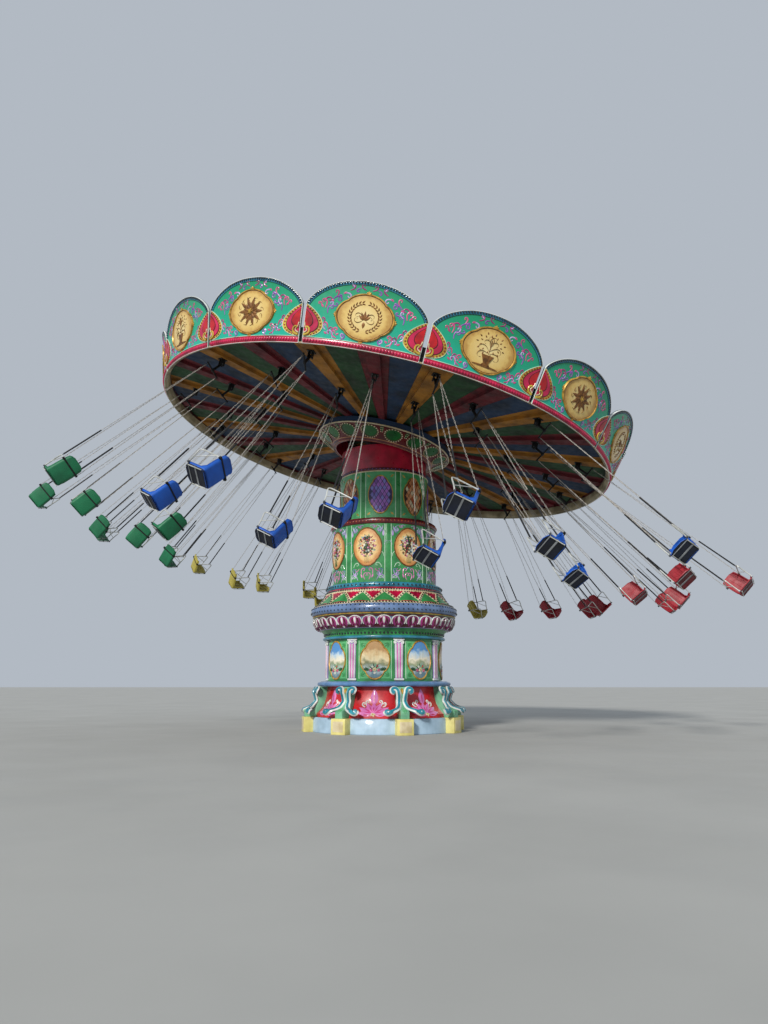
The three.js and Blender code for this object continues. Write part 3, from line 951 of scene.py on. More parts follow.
@dataclass
class Pedestal:
    """Flared red base with painted leaves, and eight legs of paired scrolls."""

    foot: float = 0.3503
    top: float = 1.05
    flare: Line = (
        (1.70, 0.3503), (1.69, 0.43), (1.62, 0.49), (1.56, 0.56), (1.50, 0.66), (1.465, 0.78), (1.44, 0.92),
        (1.43, 1.05))
    leg_face: Line = (
        (1.960, 0.352), (1.970, 0.50), (1.80, 0.575), (1.665, 0.72), (1.725, 0.93), (1.655, 1.045))
    leg_back: float = 1.40
    leg_width: float = 0.2
    leg_scroll: Line = (
        (0.185, 0.745), (0.235, 0.755), (0.25, 0.81), (0.20, 0.85), (0.125, 0.835), (0.085, 0.73),
        (0.072, 0.58), (0.085, 0.42), (0.14, 0.29), (0.25, 0.18), (0.345, 0.11), (0.405, 0.14),
        (0.38, 0.20), (0.33, 0.185))
    fan: Line = ((90, 0.33), (60, 0.36), (120, 0.36), (30, 0.40), (150, 0.40), (8, 0.38),
                               (172, 0.38))  # heading and length of the palmette's lobes

    def leaves(self) -> Piece:
        """Return the palmette of one bay: a spear above a fan of lobes."""
        shapes = [
            leaf((0, 0.36), 90, 0.38, 0.19, "leaf_pink"), leaf((0, 0.40), 90, 0.27, 0.06, "pink", 0.014)]
        for heading, reach in self.fan:
            shapes += [leaf((0, 0.10), heading, reach, 0.16, "leaf_pink"),
                       leaf((0, 0.14), heading, reach * 0.7, 0.05, "pink", 0.014)]
        shapes.append(blossom((0, 0.1), 0.07, "cream"))
        for start, heading, turn in (((0.17, 0.34), 60, 320), ((0.20, 0.31), 20, 330)):
            shapes += scroll_pair(start, heading, 0.24, turn, 0.03, "white", 0.010)
        return joined(shapes)

    def scroll_leg(self) -> Piece:
        """Return one leg: a moulded post with a pair of scrolls on its face."""
        foot, top = self.leg_face[0][1], self.leg_face[-1][1]
        post = plate([(self.leg_back, foot), *self.leg_face, (self.leg_back, top)], self.leg_width,
                     "foot_green", 0.012)
        post.data.transform(
            Matrix(((1, 0, 0, 0), (0, 0, 1, -self.leg_width / 2), (0, 1, 0, 0), (0, 0, 0, 1))))
        shapes = []
        for side in (self.leg_scroll, mirrored(self.leg_scroll)):
            for width, depth, finish in ((0.125, 0.03, "white"), (0.082, 0.052, "leg_teal")):
                shapes.append(strip(side, width, depth, finish, smooth=3))
        shapes += [leaf((0, 0.86), -90, 0.16, 0.07, "gold_leaf", 0.02),
                   leaf((0, 0.10), 90, 0.26, 0.10, "light_green", 0.012)]
        return joined([sealed(post), Wall(self.leg_face).fit(joined(shapes))])

    def build(self) -> None:
        """Build the flare with its leaves, then the legs."""
        core = turned([(0, self.foot), *self.flare, (0, self.top)], "flare_red")
        leaves = repeated(
            Wall(self.flare).fit(self.leaves()), turns(TOWER_PANELS, PILASTER_TURN + HALF_PANEL))
        legs = repeated(self.scroll_leg(), turns(TOWER_PANELS, PILASTER_TURN))
        settle(joined([core, leaves]), "pedestal_flare", Body.ROOT, ["pedestal"])
        settle(legs, "pedestal_scroll_legs", Body.ROOT)


@dataclass
class LowerDrum:
    """Green drum with eight framed plaques between reeded pilasters."""

    radius: float = 1.42
    foot: float = 1.1703
    height: float = 0.9797
    plaque: Point2 = (0.345, 0.44)
    panel_half: float = 0.385
    margin: float = 0.065  # drum left bare under and over a panel
    # Share of the size and height of each ring of the plaque's frame, then of its picture.
    frame_steps: Line = ((1, 0.012), (0.965, 0.03), (0.93, 0.028), (0.9, 0.012), (0.6, 0.012), (0, 0.012))
    plaque_steps: Line = ((1, 0.015), (0.75, 0.017), (0.5, 0.018), (0.25, 0.018), (0, 0.018))
    reeds: int = 5
    reed_pitch: float = 0.034
    flowers: tuple[tuple[float, float, float, str], ...] = (
        (0, 0.27, 0.06, "cream"), (-0.09, 0.25, 0.045, "pink"), (0.09, 0.25, 0.045, "pink"),
        (0, 0.19, 0.04, "white"), (-0.05, 0.33, 0.035, "white"), (0.06, 0.34, 0.035, "crimson"))

    def panel(self, sky: str) -> Piece:
        """Return one panel: a pale field, its lines, the gold frame and the painted plaque.

        Args:
            sky: Finish of the plaque's ground.
        Returns:
            The flat panel.
        """
        up = self.height / 2
        half, low, high = self.panel_half, self.margin, self.height - self.margin
        edge = rectangle(half, low, high)
        fine = scaled(edge, 0.93, 0.95, up)
        rim = oval(*self.plaque, (0, up), 0.13)
        shapes = [plate(edge, 0.004, "light_green", 0, 0.07),
                  strip(edge + edge[:1], 0.02, 0.007, "pale_line"),
                  strip(fine + fine[:1], 0.009, 0.006, "bottle_green"),
                  medal(rim, self.frame_steps, "gold_leaf", (0, up)),
                  medal(scaled(rim, 0.9, 0.9, up), self.plaque_steps, sky, (0, up))]
        for heading in range(30, 151, 24):
            shapes += leaf_pair((0.2, 0.23), heading, 0.12, 0.055, "bottle_green", 0.024, 5)
        for heading in range(0, 181, 20):
            finish = "bottle_green" if heading % 40 else "foot_green"
            reach = 0.17 + 0.05 * sin(radians(heading))
            shapes.append(leaf((0, 0.24), heading, reach, 0.05, finish, 0.026))
        shapes += [moved(blossom((x, y), size, finish), 0, 0, 0.022) for x, y, size, finish in self.flowers]
        shapes += corner_sprays((half - 0.05, high - up - 0.05), up, 0.75, [
            (turn, 0.12 if turn else 0.15, "drum_green") for turn in (-32, 0, 32)], 0.04, 0.012)
        return joined(shapes)

    def pilaster(self) -> Piece:
        """Return one pilaster: base, reeded shaft and a capital of two curls."""
        low, high = 0.02, self.height - 0.012
        shapes = [plate([(-0.085, low), (0.085, low), (0.1, high), (-0.1, high)], 0.03, "lilac"),
                  block((0.23, 0.045, 0.05), (0, low + 0.024, 0.022), "white", 0.008),
                  block((0.26, 0.03, 0.055), (0, high - 0.016, 0.024), "white", 0.006)]
        for index in range(self.reeds):
            place = (index - self.reeds // 2) * self.reed_pitch
            line = [(place * 0.92, low + 0.06, 0.03), (place * 1.08, high - 0.11, 0.03)]
            shapes.append(tube(line, 0.0145, ("white", "leaf_pink")[index % 2], smooth=1))
        volute = curl((0.0, high - 0.085), 40, 0.24, -420, 14)
        for side in (volute, mirrored(volute)):
            shapes.append(tube([(x, y, 0.034) for x, y in side], 0.017, "white", smooth=2))
        return joined(shapes)

    def build(self) -> None:
        """Build the drum, its panels and its pilasters."""
        drum = drum_shell(self.radius, self.foot, self.foot + self.height, "drum_green")
        wall = drum_wall(self.radius, self.foot, self.height)
        panels = joined([repeated(wall.fit(self.panel(sky)), turns(TOWER_PANELS // 2, PILASTER_TURN + start))
                         for sky, start in (("sky_plaque", HALF_PANEL),
                                            ("dusk_plaque", 3 * HALF_PANEL))])
        settle(drum, "lower_drum_shell", Body.ROOT, ["lower_drum"])
        settle(panels, "lower_drum_panels", Body.ROOT)
        posts = repeated(wall.fit(self.pilaster()), turns(TOWER_PANELS, PILASTER_TURN))
        settle(posts, "reeded_pilasters", Body.ROOT)


@dataclass
class Cornice:
    """Stack of mouldings between the lower drum and the turning drum; sections are [radius, height]."""

    base: Line = (
        (0, 1.0503), (1.59, 1.0503), (1.625, 1.07), (1.64, 1.09), (1.64, 1.125), (1.62, 1.145),
        (1.575, 1.152), (1.55, 1.17), (0, 1.17))
    ring: Line = (
        (0, 2.1503), (1.49, 2.1503), (1.52, 2.165), (1.525, 2.185), (1.52, 2.205), (1.49, 2.22), (0, 2.22))
    cove: Line = (
        (0, 2.2203), (1.475, 2.2203), (1.482, 2.26), (1.5, 2.30), (1.532, 2.342), (1.58, 2.38), (0, 2.38))
    swell: Line = ((1.60, 2.3803), (1.655, 2.425), (1.69, 2.47), (1.725, 2.535), (1.75, 2.60), (1.76, 2.70))
    swell_lines: tuple[Line, ...] = (
        ((1.70, 2.692), (1.768, 2.692), (1.772, 2.70), (1.70, 2.70)),
        ((1.56, 2.382), (1.604, 2.382), (1.618, 2.392), (1.56, 2.4)))
    gold_line: Line = ((1.74, 2.7006), (1.785, 2.7006), (1.79, 2.712), (1.78, 2.722), (1.74, 2.722))
    triangle_wall: Line = (
        (1.745, 2.9503), (1.672, 3.005), (1.600, 3.080), (1.540, 3.150), (1.485, 3.225), (1.430, 3.350))
    lamp_ring: Line = (
        (1.21, 3.3503), (1.43, 3.3503), (1.452, 3.372), (1.46, 3.40), (1.458, 3.44), (1.44, 3.462),
        (1.41, 3.474), (1.28, 3.474), (1.28, 3.48), (1.21, 3.48))
    bore: float = 1.21
    torus_middle: Point2 = (1.745, 2.835)
    torus_size: Point2 = (0.085, 0.108)
    gadroons: int = 32
    egg_up: float = 0.185
    triangles: int = 18
    triangle_top: float = 0.47
    triangle_ruled: float = 1.60

    def settle_ring(self, name: str, slot: str, section: Sequence[Point2], finish: str,
                    *trims: Piece) -> None:
        """Turn one ring of the stack, join what lies on it and settle it."""
        settle(joined([turned(section, finish), *trims]), name, Body.ROOT, [slot])

    def petal(self) -> Piece:
        """Return one painted petal: a raised egg with its pale edge, folds and a blue leaf between."""
        egg = [(0.142 * sin(a) * (1 - 0.25 * cos(a)), 0.175 - 0.145 * cos(a))
               for a in np.linspace(0, 2 * pi, 25)[:-1]]
        shoulder = 0.12
        arch = sorted((p for p in egg if p[1] > shoulder), key=lambda p: atan2(p[1] - shoulder, p[0]))
        edge = tube(scaled(arch, 1.08, 1.06, self.egg_up), 0.013, "white", smooth=2)
        shapes = [medal(egg, [(1, 0.012), (0.88, 0.026), (0.55, 0.034), (0, 0.036)], "magenta",
                        (0.0, self.egg_up)),
                  flattened(edge, 1.6, 0.016),
                  *leaf_pair((0.152, 0.31), -90, 0.20, 0.06, "torus_blue", 0.012),
                  moved(leaf((0, 0.31), -90, 0.17, 0.06, "white", 0.02), 0, 0, 0.028),
                  moved(leaf((0, 0.12), -90, 0.08, 0.05, "white", 0.012), 0, 0, 0.024)]
        for x, y, bend, length, width in ((0.055, 0.30, 8, 0.17, 0.05), (0.03, 0.17, 20, 0.11, 0.04)):
            for fold in leaf_pair((x, y), bend - 90, length, width, "oxblood", 0.02):
                shapes.append(moved(fold, 0, 0, 0.024))
        return joined(shapes)

    def gadroon_band(self) -> None:
        """Build the swelling band with a ring of painted petals."""
        low, high = self.swell[0][1], self.swell[-1][1]
        petals = repeated(Wall(self.swell).fit(self.petal()), turns(self.gadroons))
        lines = [turned(section, finish)
                 for section, finish in zip(self.swell_lines, ("light_green", "lilac"))]
        self.settle_ring(
            "gadroon_band", "scallop_band", [(0, low), *self.swell, (0, high)], "oxblood", petals, *lines)

    def torus(self) -> None:
        """Build the blue half-round with two rows of dark caps and a gold fillet under it."""
        section = [(0, 2.7003), (1.765, 2.7003)]
        for angle in np.radians(np.linspace(-88, 88, 13)):
            section.append((self.torus_middle[0] + self.torus_size[0] * cos(angle),
                            self.torus_middle[1] + self.torus_size[1] * sin(angle)))
        section += [(self.torus_middle[0], 2.95), (0, 2.95)]
        self.settle_ring(
            "torus_moulding", "blue_torus", section, "torus_blue", turned(self.gold_line, "gold_leaf"),
            caps_round(1.812, 2.902, 100, 0.019, tilt=34), caps_round(1.824, 2.80, 100, 0.019, tilt=-18))

    def triangle_band(self) -> None:
        """Build the hollow cove with arched cream zigzags between red and green fields."""
        half, top = pi * self.triangle_ruled / self.triangles, self.triangle_top
        arc = [(-half * (1 - share ** 1.55), 0.07 + (top - 0.13) * share) for share in np.linspace(0, 1, 9)]
        other = mirrored(arc)
        field_outline = arc[:-1] + [(0.0, top - 0.08)] + other[-2::-1]
        shapes = [medal(field_outline, [(0.98, 0.006), (0.6, 0.008), (0, 0.008)], "drum_green", (0, 0.16))]
        waves = [(x, 0.014 * cos(8 * pi * x / half)) for x in np.linspace(-half, half, 17)]
        low = [(x, 0.032 + wave) for x, wave in waves]
        high = [(x, top - 0.03 - wave) for x, wave in waves]
        for line, width in ((arc, 0.08), (other, 0.08), (low, 0.068), (high, 0.068)):
            shapes += [strip(line, width, 0.012, "cream"), caps_along(line, 0.095, 0.024, lift=0.010)]
        band = repeated(Wall(self.triangle_wall, ruled=self.triangle_ruled).fit(joined(shapes)),
                        turns(self.triangles, -89.6))
        foot, head = self.triangle_wall[0][1], self.triangle_wall[-1][1]
        self.settle_ring("zigzag_cove", "triangle_cove", [
            (self.bore, foot), *self.triangle_wall, (self.bore, head)], "crimson", band)

    def build(self) -> None:
        """Build the mouldings from the bottom up."""
        self.settle_ring("base_moulding", "base_plate", self.base, "plate_blue")
        self.settle_ring("drum_top_moulding", "blue_ring", self.ring, "ring_blue")
        self.settle_ring("green_cove_moulding", "green_cove", self.cove, "drum_green",
                         caps_round(1.486, 2.278, 104, 0.028, tilt=-20))
        self.gadroon_band()
        self.torus()
        self.triangle_band()
        self.settle_ring(
            "lamp_ring", "bulb_ring", self.lamp_ring, "ring_blue", caps_round(1.458, 3.412, 80, 0.025))


@dataclass
class FloralDrum:
    """Turning drum with eight flower plaques over scrollwork, and its beaded top ring."""

    radius: float = 1.31
    bore: float = 1.21
    foot: float = 3.4803
    height: float = 1.4197
    plaque: Point2 = (0.365, 0.47)
    up: float = 0.855  # height of a plaque's middle
    frame_steps: Line = ((1, 0.010), (0.97, 0.022), (0.94, 0.02), (0.92, 0.010), (0, 0.01))
    plaque_steps: Line = ((1, 0.013), (0.8, 0.016), (0.55, 0.018), (0.3, 0.018), (0, 0.018))
    first: float = -108.2
    seed: int = 11
    batten: float = 0.055  # half width of the green batten over a joint
    line_at: float = 0.436  # the pale line beside it
    ring: Line = (
        (1.166, 4.9003), (1.31, 4.9003), (1.335, 4.915), (1.345, 4.945), (1.345, 4.995), (1.335, 5.03),
        (1.31, 5.05), (1.166, 5.05))
    rings_of_flowers: tuple[tuple[float, int], ...] = (
        (0.0, 1), (0.06, 6), (0.115, 12), (0.165, 17), (0.208, 20))
    flower_colours: tuple[str, ...] = (
        "white", "cream", "leaf_pink", "crimson", "plinth_blue", "oxblood", "crimson", "bottle_green")
    # Start, heading, length, turn, width and paint of each scroll of the right half.
    broad_scrolls: tuple[tuple, ...] = (
        ((0.05, 0.06), 60, 0.32, 330, 0.02, "leaf_pink"), ((0.24, 0.05), 70, 0.38, -330, 0.022, "lilac"),
        ((0.385, 0.30), -100, 0.32, -300, 0.02, "lilac"), ((0.20, 0.33), -60, 0.22, 280, 0.02, "leaf_pink"),
        ((0.39, 1.36), -100, 0.30, -280, 0.024, "lilac"),
        ((0.25, 1.38), -20, 0.26, -300, 0.02, "plinth_blue"))
    fine_scrolls: tuple[tuple, ...] = (
        ((0.14, 0.20), 80, 0.28, 300, 0.022, "leaf_pink"),
        ((0.30, 0.18), 100, 0.28, -300, 0.022, "torus_blue"),
        ((0.36, 0.36), 110, 0.30, 300, 0.02, "pale_line"), ((0.33, 1.20), 60, 0.22, 280, 0.018, "lilac"),
        ((0.41, 0.62), 95, 0.24, 260, 0.016, "pale_line"),
        ((0.05, 0.30), 130, 0.20, -290, 0.018, "torus_blue"),
        ((0.41, 0.08), 120, 0.22, 300, 0.018, "pale_line"), ((0.08, 1.37), 20, 0.22, -300, 0.018, "lilac"),
        ((0.15, 1.36), -40, 0.16, 280, 0.016, "leaf_pink"), ((0.42, 0.90), 80, 0.22, -280, 0.016, "lilac"),
        ((0.40, 1.22), 150, 0.20, 300, 0.016, "torus_blue"))

    def bouquet(self, turn: int) -> list[Piece]:
        """Return an oval bunch of small flowers over crossed stems.

        Args:
            turn: The panel's number, so that no two bunches are alike.
        Returns:
            Its pieces.
        """
        draw = random.Random(self.seed + turn)
        middle = (0.0, self.up + 0.05)
        shapes = [medal(oval(0.175, 0.215, middle, 0.12, 28), [(0.98, 0.018), (0, 0.021)],
                        "bouquet_green", middle)]
        for heading in (-62, -78, -90, -102, -118):
            lean = cos(radians(heading))
            stem = [(0, self.up - 0.16), (0.16 * lean, self.up - 0.27), (0.10 * lean, self.up - 0.39)]
            shapes.append(scroll(stem, 0.016, "bottle_green", 0.022))
        for ring, count in self.rings_of_flowers:
            for i in range(count):
                angle = 2 * pi * i / count + draw.uniform(-0.15, 0.15)
                x = ring * cos(angle) * 0.95
                y = self.up + 0.04 + ring * sin(angle) * (1.05 if sin(angle) > 0 else 1.3)
                flower = blossom((x, y), draw.uniform(0.024, 0.035), draw.choice(self.flower_colours))
                shapes.append(moved(flower, 0, 0, 0.022))
        for i, (x, y) in enumerate(oval(0.19, 0.235, (0, self.up + 0.03), count=14)):
            shapes.append(
                leaf((x, y), 360 * i / 14, 0.075, 0.032, "foot_green" if i % 2 else "antique_gold", 0.024))
        return shapes

    def panel(self, turn: int) -> Piece:
        """Return one panel of the drum: its plaque, its bunch, its scrollwork and its pale lines."""
        middle = (0.0, self.up)
        rim = oval(*self.plaque, middle, 0.05)
        shapes = [medal(rim, self.frame_steps, "antique_gold", middle),
                  medal(scaled(rim, 0.94, 0.94, self.up), self.plaque_steps, "peach_plaque", middle),
                  *self.bouquet(turn)]
        for strokes, count in ((self.broad_scrolls, 9), (self.fine_scrolls, 8)):
            for *stroke, paint in strokes:
                shapes += scroll_pair(*stroke, paint, count=count)
        for base, heading, length, width, paint in (((0.12, 0.10), 70, 0.12, 0.04, "leaf_pink"),
                                                    ((0.33, 0.12), 105, 0.16, 0.05, "lilac"),
                                                    ((0.40, 1.10), 90, 0.18, 0.05, "lilac")):
            shapes += leaf_pair(base, heading, length, width, paint)
        shapes += upright_pair(self.line_at, 0.01, self.height - 0.01, 0.022, 0.008, "pale_line")
        return joined(shapes)

    def build(self) -> None:
        """Build the shell, the panels and the beaded ring."""
        wall = drum_wall(self.radius, self.foot, self.height)
        drum = drum_shell(self.radius, self.foot, self.foot + self.height, "drum_green", self.bore)
        band = plate(rectangle(self.batten, 0.004, self.height - 0.004), 0.007, "drum_green", 0.004, 0.05)
        bands = repeated(wall.fit(band), turns(TOWER_PANELS, self.first + HALF_PANEL))
        settle(joined([drum, bands]), "floral_drum_shell", Body.TURNING_DRUM, ["floral_drum"])
        for index, place in enumerate(turns(TOWER_PANELS, self.first)):
            panel = wall.fit(self.panel(index))
            settle(panel, f"flower_panel_{index + 1}", Body.TURNING_DRUM, place=place)
        caps = caps_round(1.342, 4.97, 96, 0.022, "rust")
        settle(joined([turned(self.ring, "collar_red"), caps]), "beaded_ring", Body.TURNING_DRUM,
               ["bead_ring"])


@dataclass
class RisingMast:
    """Lattice drum that rises out of the turning drum, and the crimson neck above it."""

    radius: float = 1.135
    foot: float = 4.78
    height: float = 1.5
    window: Point2 = (0.305, 0.475)
    window_up: float = 0.885
    frame_steps: Line = (
        (1, 0.006), (0.975, 0.018), (0.94, 0.016), (0.92, 0.005), (0.6, 0.005), (0.3, 0.005), (0, 0.005))
    ground_steps: Line = ((1, 0.008), (0.7, 0.008), (0.4, 0.008), (0, 0.008))
    lozenge: Point2 = (0.102, 0.166)
    first: float = -94.5
    batten: float = 0.045  # half width of the green batten over a joint
    line_at: float = 0.375  # the pale line beside it
    hidden: float = 0.28  # the foot that stays in the turning drum, left plain
    seam: float = 0.0003  # between the drum and the neck
    neck_radius: float = 1.1
    neck_top: float = 6.98
    saddle: Point3 = (0.36, 0.09, 0.24)
    saddle_at: Point2 = (0.52, 7.075)  # how far out, and how high
    looks: tuple[tuple[tuple[str, ...], str], ...] = (
        (("window_blue", "window_violet", "window_blue", "purple", "window_violet"), "indigo"),
        (("peach", "rust", "peach", "cream", "peach"), "umber"))

    def window_panel(self, colours: Sequence[str], ground: str, seed: int) -> Piece:
        """Return one oval of quilted lozenges in its frame.

        Args:
            colours: Paints that the lozenges are drawn from.
            ground: Paint between them.
            seed: Start of the random draws.
        Returns:
            The flat panel.
        """
        up = self.window_up
        draw = random.Random(seed)
        rim = oval(*self.window, (0, up), 0.09)
        shapes = [medal(rim, self.frame_steps, "gold_leaf", (0, up)),
                  medal(scaled(rim, 0.93, 0.93, up), self.ground_steps, ground, (0, up))]
        wide, tall = self.lozenge
        for column in range(-6, 7):
            for row in range(-6, 7):
                x, y = column * wide / 2, row * tall / 2
                outside = (x / (self.window[0] - 0.045)) ** 2 + (y / (self.window[1] - 0.05)) ** 2 > 1
                if (column + row) % 2 or outside:
                    continue
                place = (x, up + y)
                diamond = oval(wide * 0.46, tall * 0.46, place, count=4)
                shapes.append(medal(diamond, [(0.9, 0.012), (0, 0.018)], draw.choice(colours), place))
        shapes += corner_sprays((0.345, 0.52), up, 0.8, [
            (turn, 0.13, "light_green" if turn else "gold_leaf") for turn in (-34, 0, 34)], 0.05, 0.010)
        shapes += upright_pair(self.line_at, 0.30, self.height - 0.02, 0.02, 0.007, "pale_line")
        return joined(shapes)

    def build(self) -> None:
        """Build the drum, its windows, the joint battens and the neck."""
        top = self.foot + self.height
        wall = drum_wall(self.radius, self.foot, self.height)
        drum = drum_shell(self.radius, self.foot, top, "mast_green")
        band = plate(
            rectangle(self.batten, self.hidden, self.height - 0.004), 0.006, "drum_green", 0.003, 0.045)
        bands = repeated(wall.fit(band), turns(TOWER_PANELS, self.first + HALF_PANEL))
        lip = turned([(1.05, top - 0.03), (1.145, top - 0.03), (1.15, top - 0.015), (1.14, top), (1.05, top)],
                     "cream")
        settle(joined([drum, bands, lip]), "lattice_drum_shell", Body.RISING_MAST,
               ["lattice_drum"])
        for index, place in enumerate(turns(TOWER_PANELS, self.first)):
            window = wall.fit(self.window_panel(*self.looks[index % 2], 5 + index))
            settle(window, f"lozenge_window_{index + 1}", Body.RISING_MAST, place=place)
        self.neck(top + self.seam)

    def neck(self, foot: float) -> None:
        """Build the neck with a dotted hem, and the saddle for the roof's tilt pins."""
        radius, top = self.neck_radius, self.neck_top
        pipe = [(0, foot), (radius, foot), (radius, foot + 0.05), (radius, top - 0.01), (radius - 0.015, top),
                (0, top)]
        hem = [(1.08, 0.02), (1.106, 0.02), (1.112, 0.05), (1.106, 0.08), (1.08, 0.08)]
        shapes = [turned(pipe, "neck_crimson"), turned([(out, foot + up) for out, up in hem], "oxblood"),
                  caps_round(1.108, foot + 0.05, 72, 0.014, "purple")]
        out, height = self.saddle_at
        for side in (out, -out):
            cheek = block(self.saddle, (0, side, height), "grey_steel", 0.01)
            cheek.data.transform(Matrix.Rotation(TILT_TOWARDS, 4, "Z"))
            shapes.append(cheek)
        settle(joined(shapes), "crimson_neck", Body.RISING_MAST, ["neck"])


# The roof: everything here is drawn in the roof's own frame.


@dataclass
class Collar:
    """Bowl-shaped collar under the ceiling, with a ring of dotted roundels."""

    section: Line = (
        (1.228, -0.33), (1.285, -0.33), (1.34, -0.265), (1.43, -0.205), (1.53, -0.145), (1.64, -0.088),
        (1.745, -0.04), (1.745, 0.1147), (1.69, 0.1147), (1.67, -0.01), (1.228, -0.25))
    # Rim line, hem, skirt against the ceiling in dark navy as painted shade, and the throat that hides the
    # works behind the neck.
    trims: tuple[tuple[str, Line], ...] = (
        ("cream", ((1.735, -0.052), (1.752, -0.052), (1.76, -0.036), (1.752, -0.02), (1.735, -0.02))),
        ("collar_red", ((1.275, -0.336), (1.294, -0.336), (1.345, -0.272), (1.335, -0.262),
                               (1.275, -0.318))),
        # the skirt: dark ceiling paint as painted shade above the rim line
        ("ceiling_blue_paint", ((1.74, -0.015), (1.7462, -0.015), (1.7462, 0.1145), (1.74, 0.1145))),
        ("neck_crimson", ((1.219, -0.328), (1.229, -0.328), (1.229, 0.1145), (1.219, 0.1145))))
    ribs: Line = ((1.335, -0.272), (1.288, -0.325))
    ruled: float = 1.56
    roundels: int = 16
    first: float = 10.0
    disc: Point2 = (0.195, 0.172)
    disc_up: float = 0.222
    dot_rows: tuple[float, ...] = (0.40, 0.33, 0.26)

    def roundel(self) -> Piece:
        """Return one roundel: a dark disc in a ring of cream drops, with three drops and a leaf beside it."""
        middle = (0.0, self.disc_up)
        ring = oval(self.disc[0] + 0.028, self.disc[1] + 0.026, middle, count=20)
        line = tube(ring, 0.008, "bottle_green", rounds=1, smooth=2, closed=True)
        shapes = [medal(oval(*self.disc, middle, count=24), [(0.97, 0.008), (0.5, 0.012), (0, 0.012)],
                        "roundel_green", middle),
                  flattened(line, 0.8, 0.004),
                  *leaf_pair((0.30, 0.44), -90, 0.20, 0.09, "bottle_green", 0.010)]
        shapes += [moved(cap(0.020, "cream"), x, y, 0.012) for x, y in ring]
        shapes += [moved(cap(0.014, "cream"), x, y, 0.016) for x in (-0.285, 0.285) for y in self.dot_rows]
        return joined(shapes)

    def build(self) -> None:
        """Build the bowl, its roundels, its trims and the ribs of its hem."""
        shapes = [turned(self.section, "collar_red"),
                  repeated(Wall(self.section[2:7], ruled=self.ruled).fit(self.roundel()),
                           turns(self.roundels, self.first))]
        shapes += [turned(section, finish) for finish, section in self.trims]
        for radius, height in self.ribs:
            shapes.append(turned([(radius - 0.009, height - 0.011), (radius + 0.007, height - 0.011),
                                  (radius + 0.013, height), (radius, height + 0.008)], "peach"))
        settle(joined(shapes), "dotted_collar", Body.ROOF, ["collar"], place=ROOF)


@dataclass
class Ceiling:
    """Boarded ceiling in four colours darkened as painted shade, with its beams, its hub and the swings'
    brackets.
    """

    inner: float = 0.6
    outer: float = 5.698
    under: float = 0.185
    top: float = 0.24
    skin: float = 0.02  # thickness of the sheet over the boards
    beam_under: float = 0.115
    beam_run: Point2 = (1.58, 5.64)
    beam_half: Point2 = (0.07, 0.16)
    wedge: float = 7.5
    gap: float = 0.0025  # half the gap between two boards
    colours: tuple[str, ...] = ("yellow", "green", "red", "blue")
    beamed: tuple[str, ...] = ("yellow", "red")
    cheek: Point3 = (0.018, 0.11, 0.157)
    cheek_at: float = 0.0385
    sole: Point3 = (0.16, 0.17, 0.014)
    bolts_at: Point2 = (0.062, 0.068)

    def board(self, finish: str) -> Piece:
        """Return one wedge board about the X axis."""
        half = radians(self.wedge / 2)
        foot = self.inner * tan(half) - self.gap
        outline = [(self.inner, -foot)]
        for share in (-1, -1 / 3, 1 / 3, 1):
            x, y = self.outer * cos(half * share), self.outer * sin(half * share)
            outline.append((x, y - self.gap * copysign(1, share)))
        outline.append((self.inner, foot))
        return moved(plate(outline, self.top - self.under - self.skin, finish), 0, 0, self.under)

    def beam(self, finish: str) -> Piece:
        """Return one tapered beam, let a millimetre into the boards."""
        (near, far), (slim, broad) = self.beam_run, self.beam_half
        outline = [(near, -slim), (far, -broad), (far, broad), (near, slim)]
        return moved(plate(outline, self.under - self.beam_under + 0.001, finish), 0, 0, self.beam_under)

    def build(self) -> None:
        """Build boards, beams, hub, top skin and brackets."""
        for index, colour in enumerate(self.colours):
            places = turns(BAYS, BAY_START + index * self.wedge)
            finish = f"ceiling_{colour}_paint"
            shapes = [repeated(self.board(finish), places)]
            if colour in self.beamed:
                shapes.append(repeated(self.beam(finish), places))
            settle(
                joined(shapes), f"ceiling_boards_{colour}", Body.ROOF,
                ["deck"] if index == 0 else (), place=ROOF)
        low = self.top - self.skin
        skin = turned([(0, low + 0.0005), (5.70, low + 0.0005), (5.70, self.top), (0, self.top)],
                      "cover_grey_paint", ROOF_SIDES)
        hub = turned([(0, 0.1503), (0.595, 0.1503), (0.6, 0.156), (0.6, low), (0, low)], "grey_steel")
        settle(joined([skin, hub]), "deck_skin_and_hub", Body.ROOF, place=ROOF)
        self.brackets()

    def brackets(self) -> None:
        """Build the fork that each swing hangs in: sole, two cheeks, pin and four bolts."""
        shapes = [block(self.cheek, (x, 0, 0.0365), "black_steel", 0.004)
                  for x in (self.cheek_at, -self.cheek_at)]
        shapes += [block(self.sole, (0, 0, self.beam_under - 0.0075), "black_steel", 0.003),
                   pin(0.013, 0.118, 12, turn=(0, pi / 2, 0))]
        out, aside = self.bolts_at
        shapes += [pin(0.011, 0.012, 6, (x, y, self.beam_under - 0.0195))
                   for x in (out, -out) for y in (aside, -aside)]
        forks = repeated(joined(shapes), [bracket_place(swing) for swing in all_swings()])
        settle(forks, "swing_forks", Body.ROOF, place=ROOF)


def crown_face(rise: float, back: float = 0.0) -> Point2:
    """Return the section point this far up the leaning panels and this far behind them."""
    return (CROWN_RADIUS + rise * sin(CROWN_LEAN) - back, CROWN_FOOT + rise * cos(CROWN_LEAN))


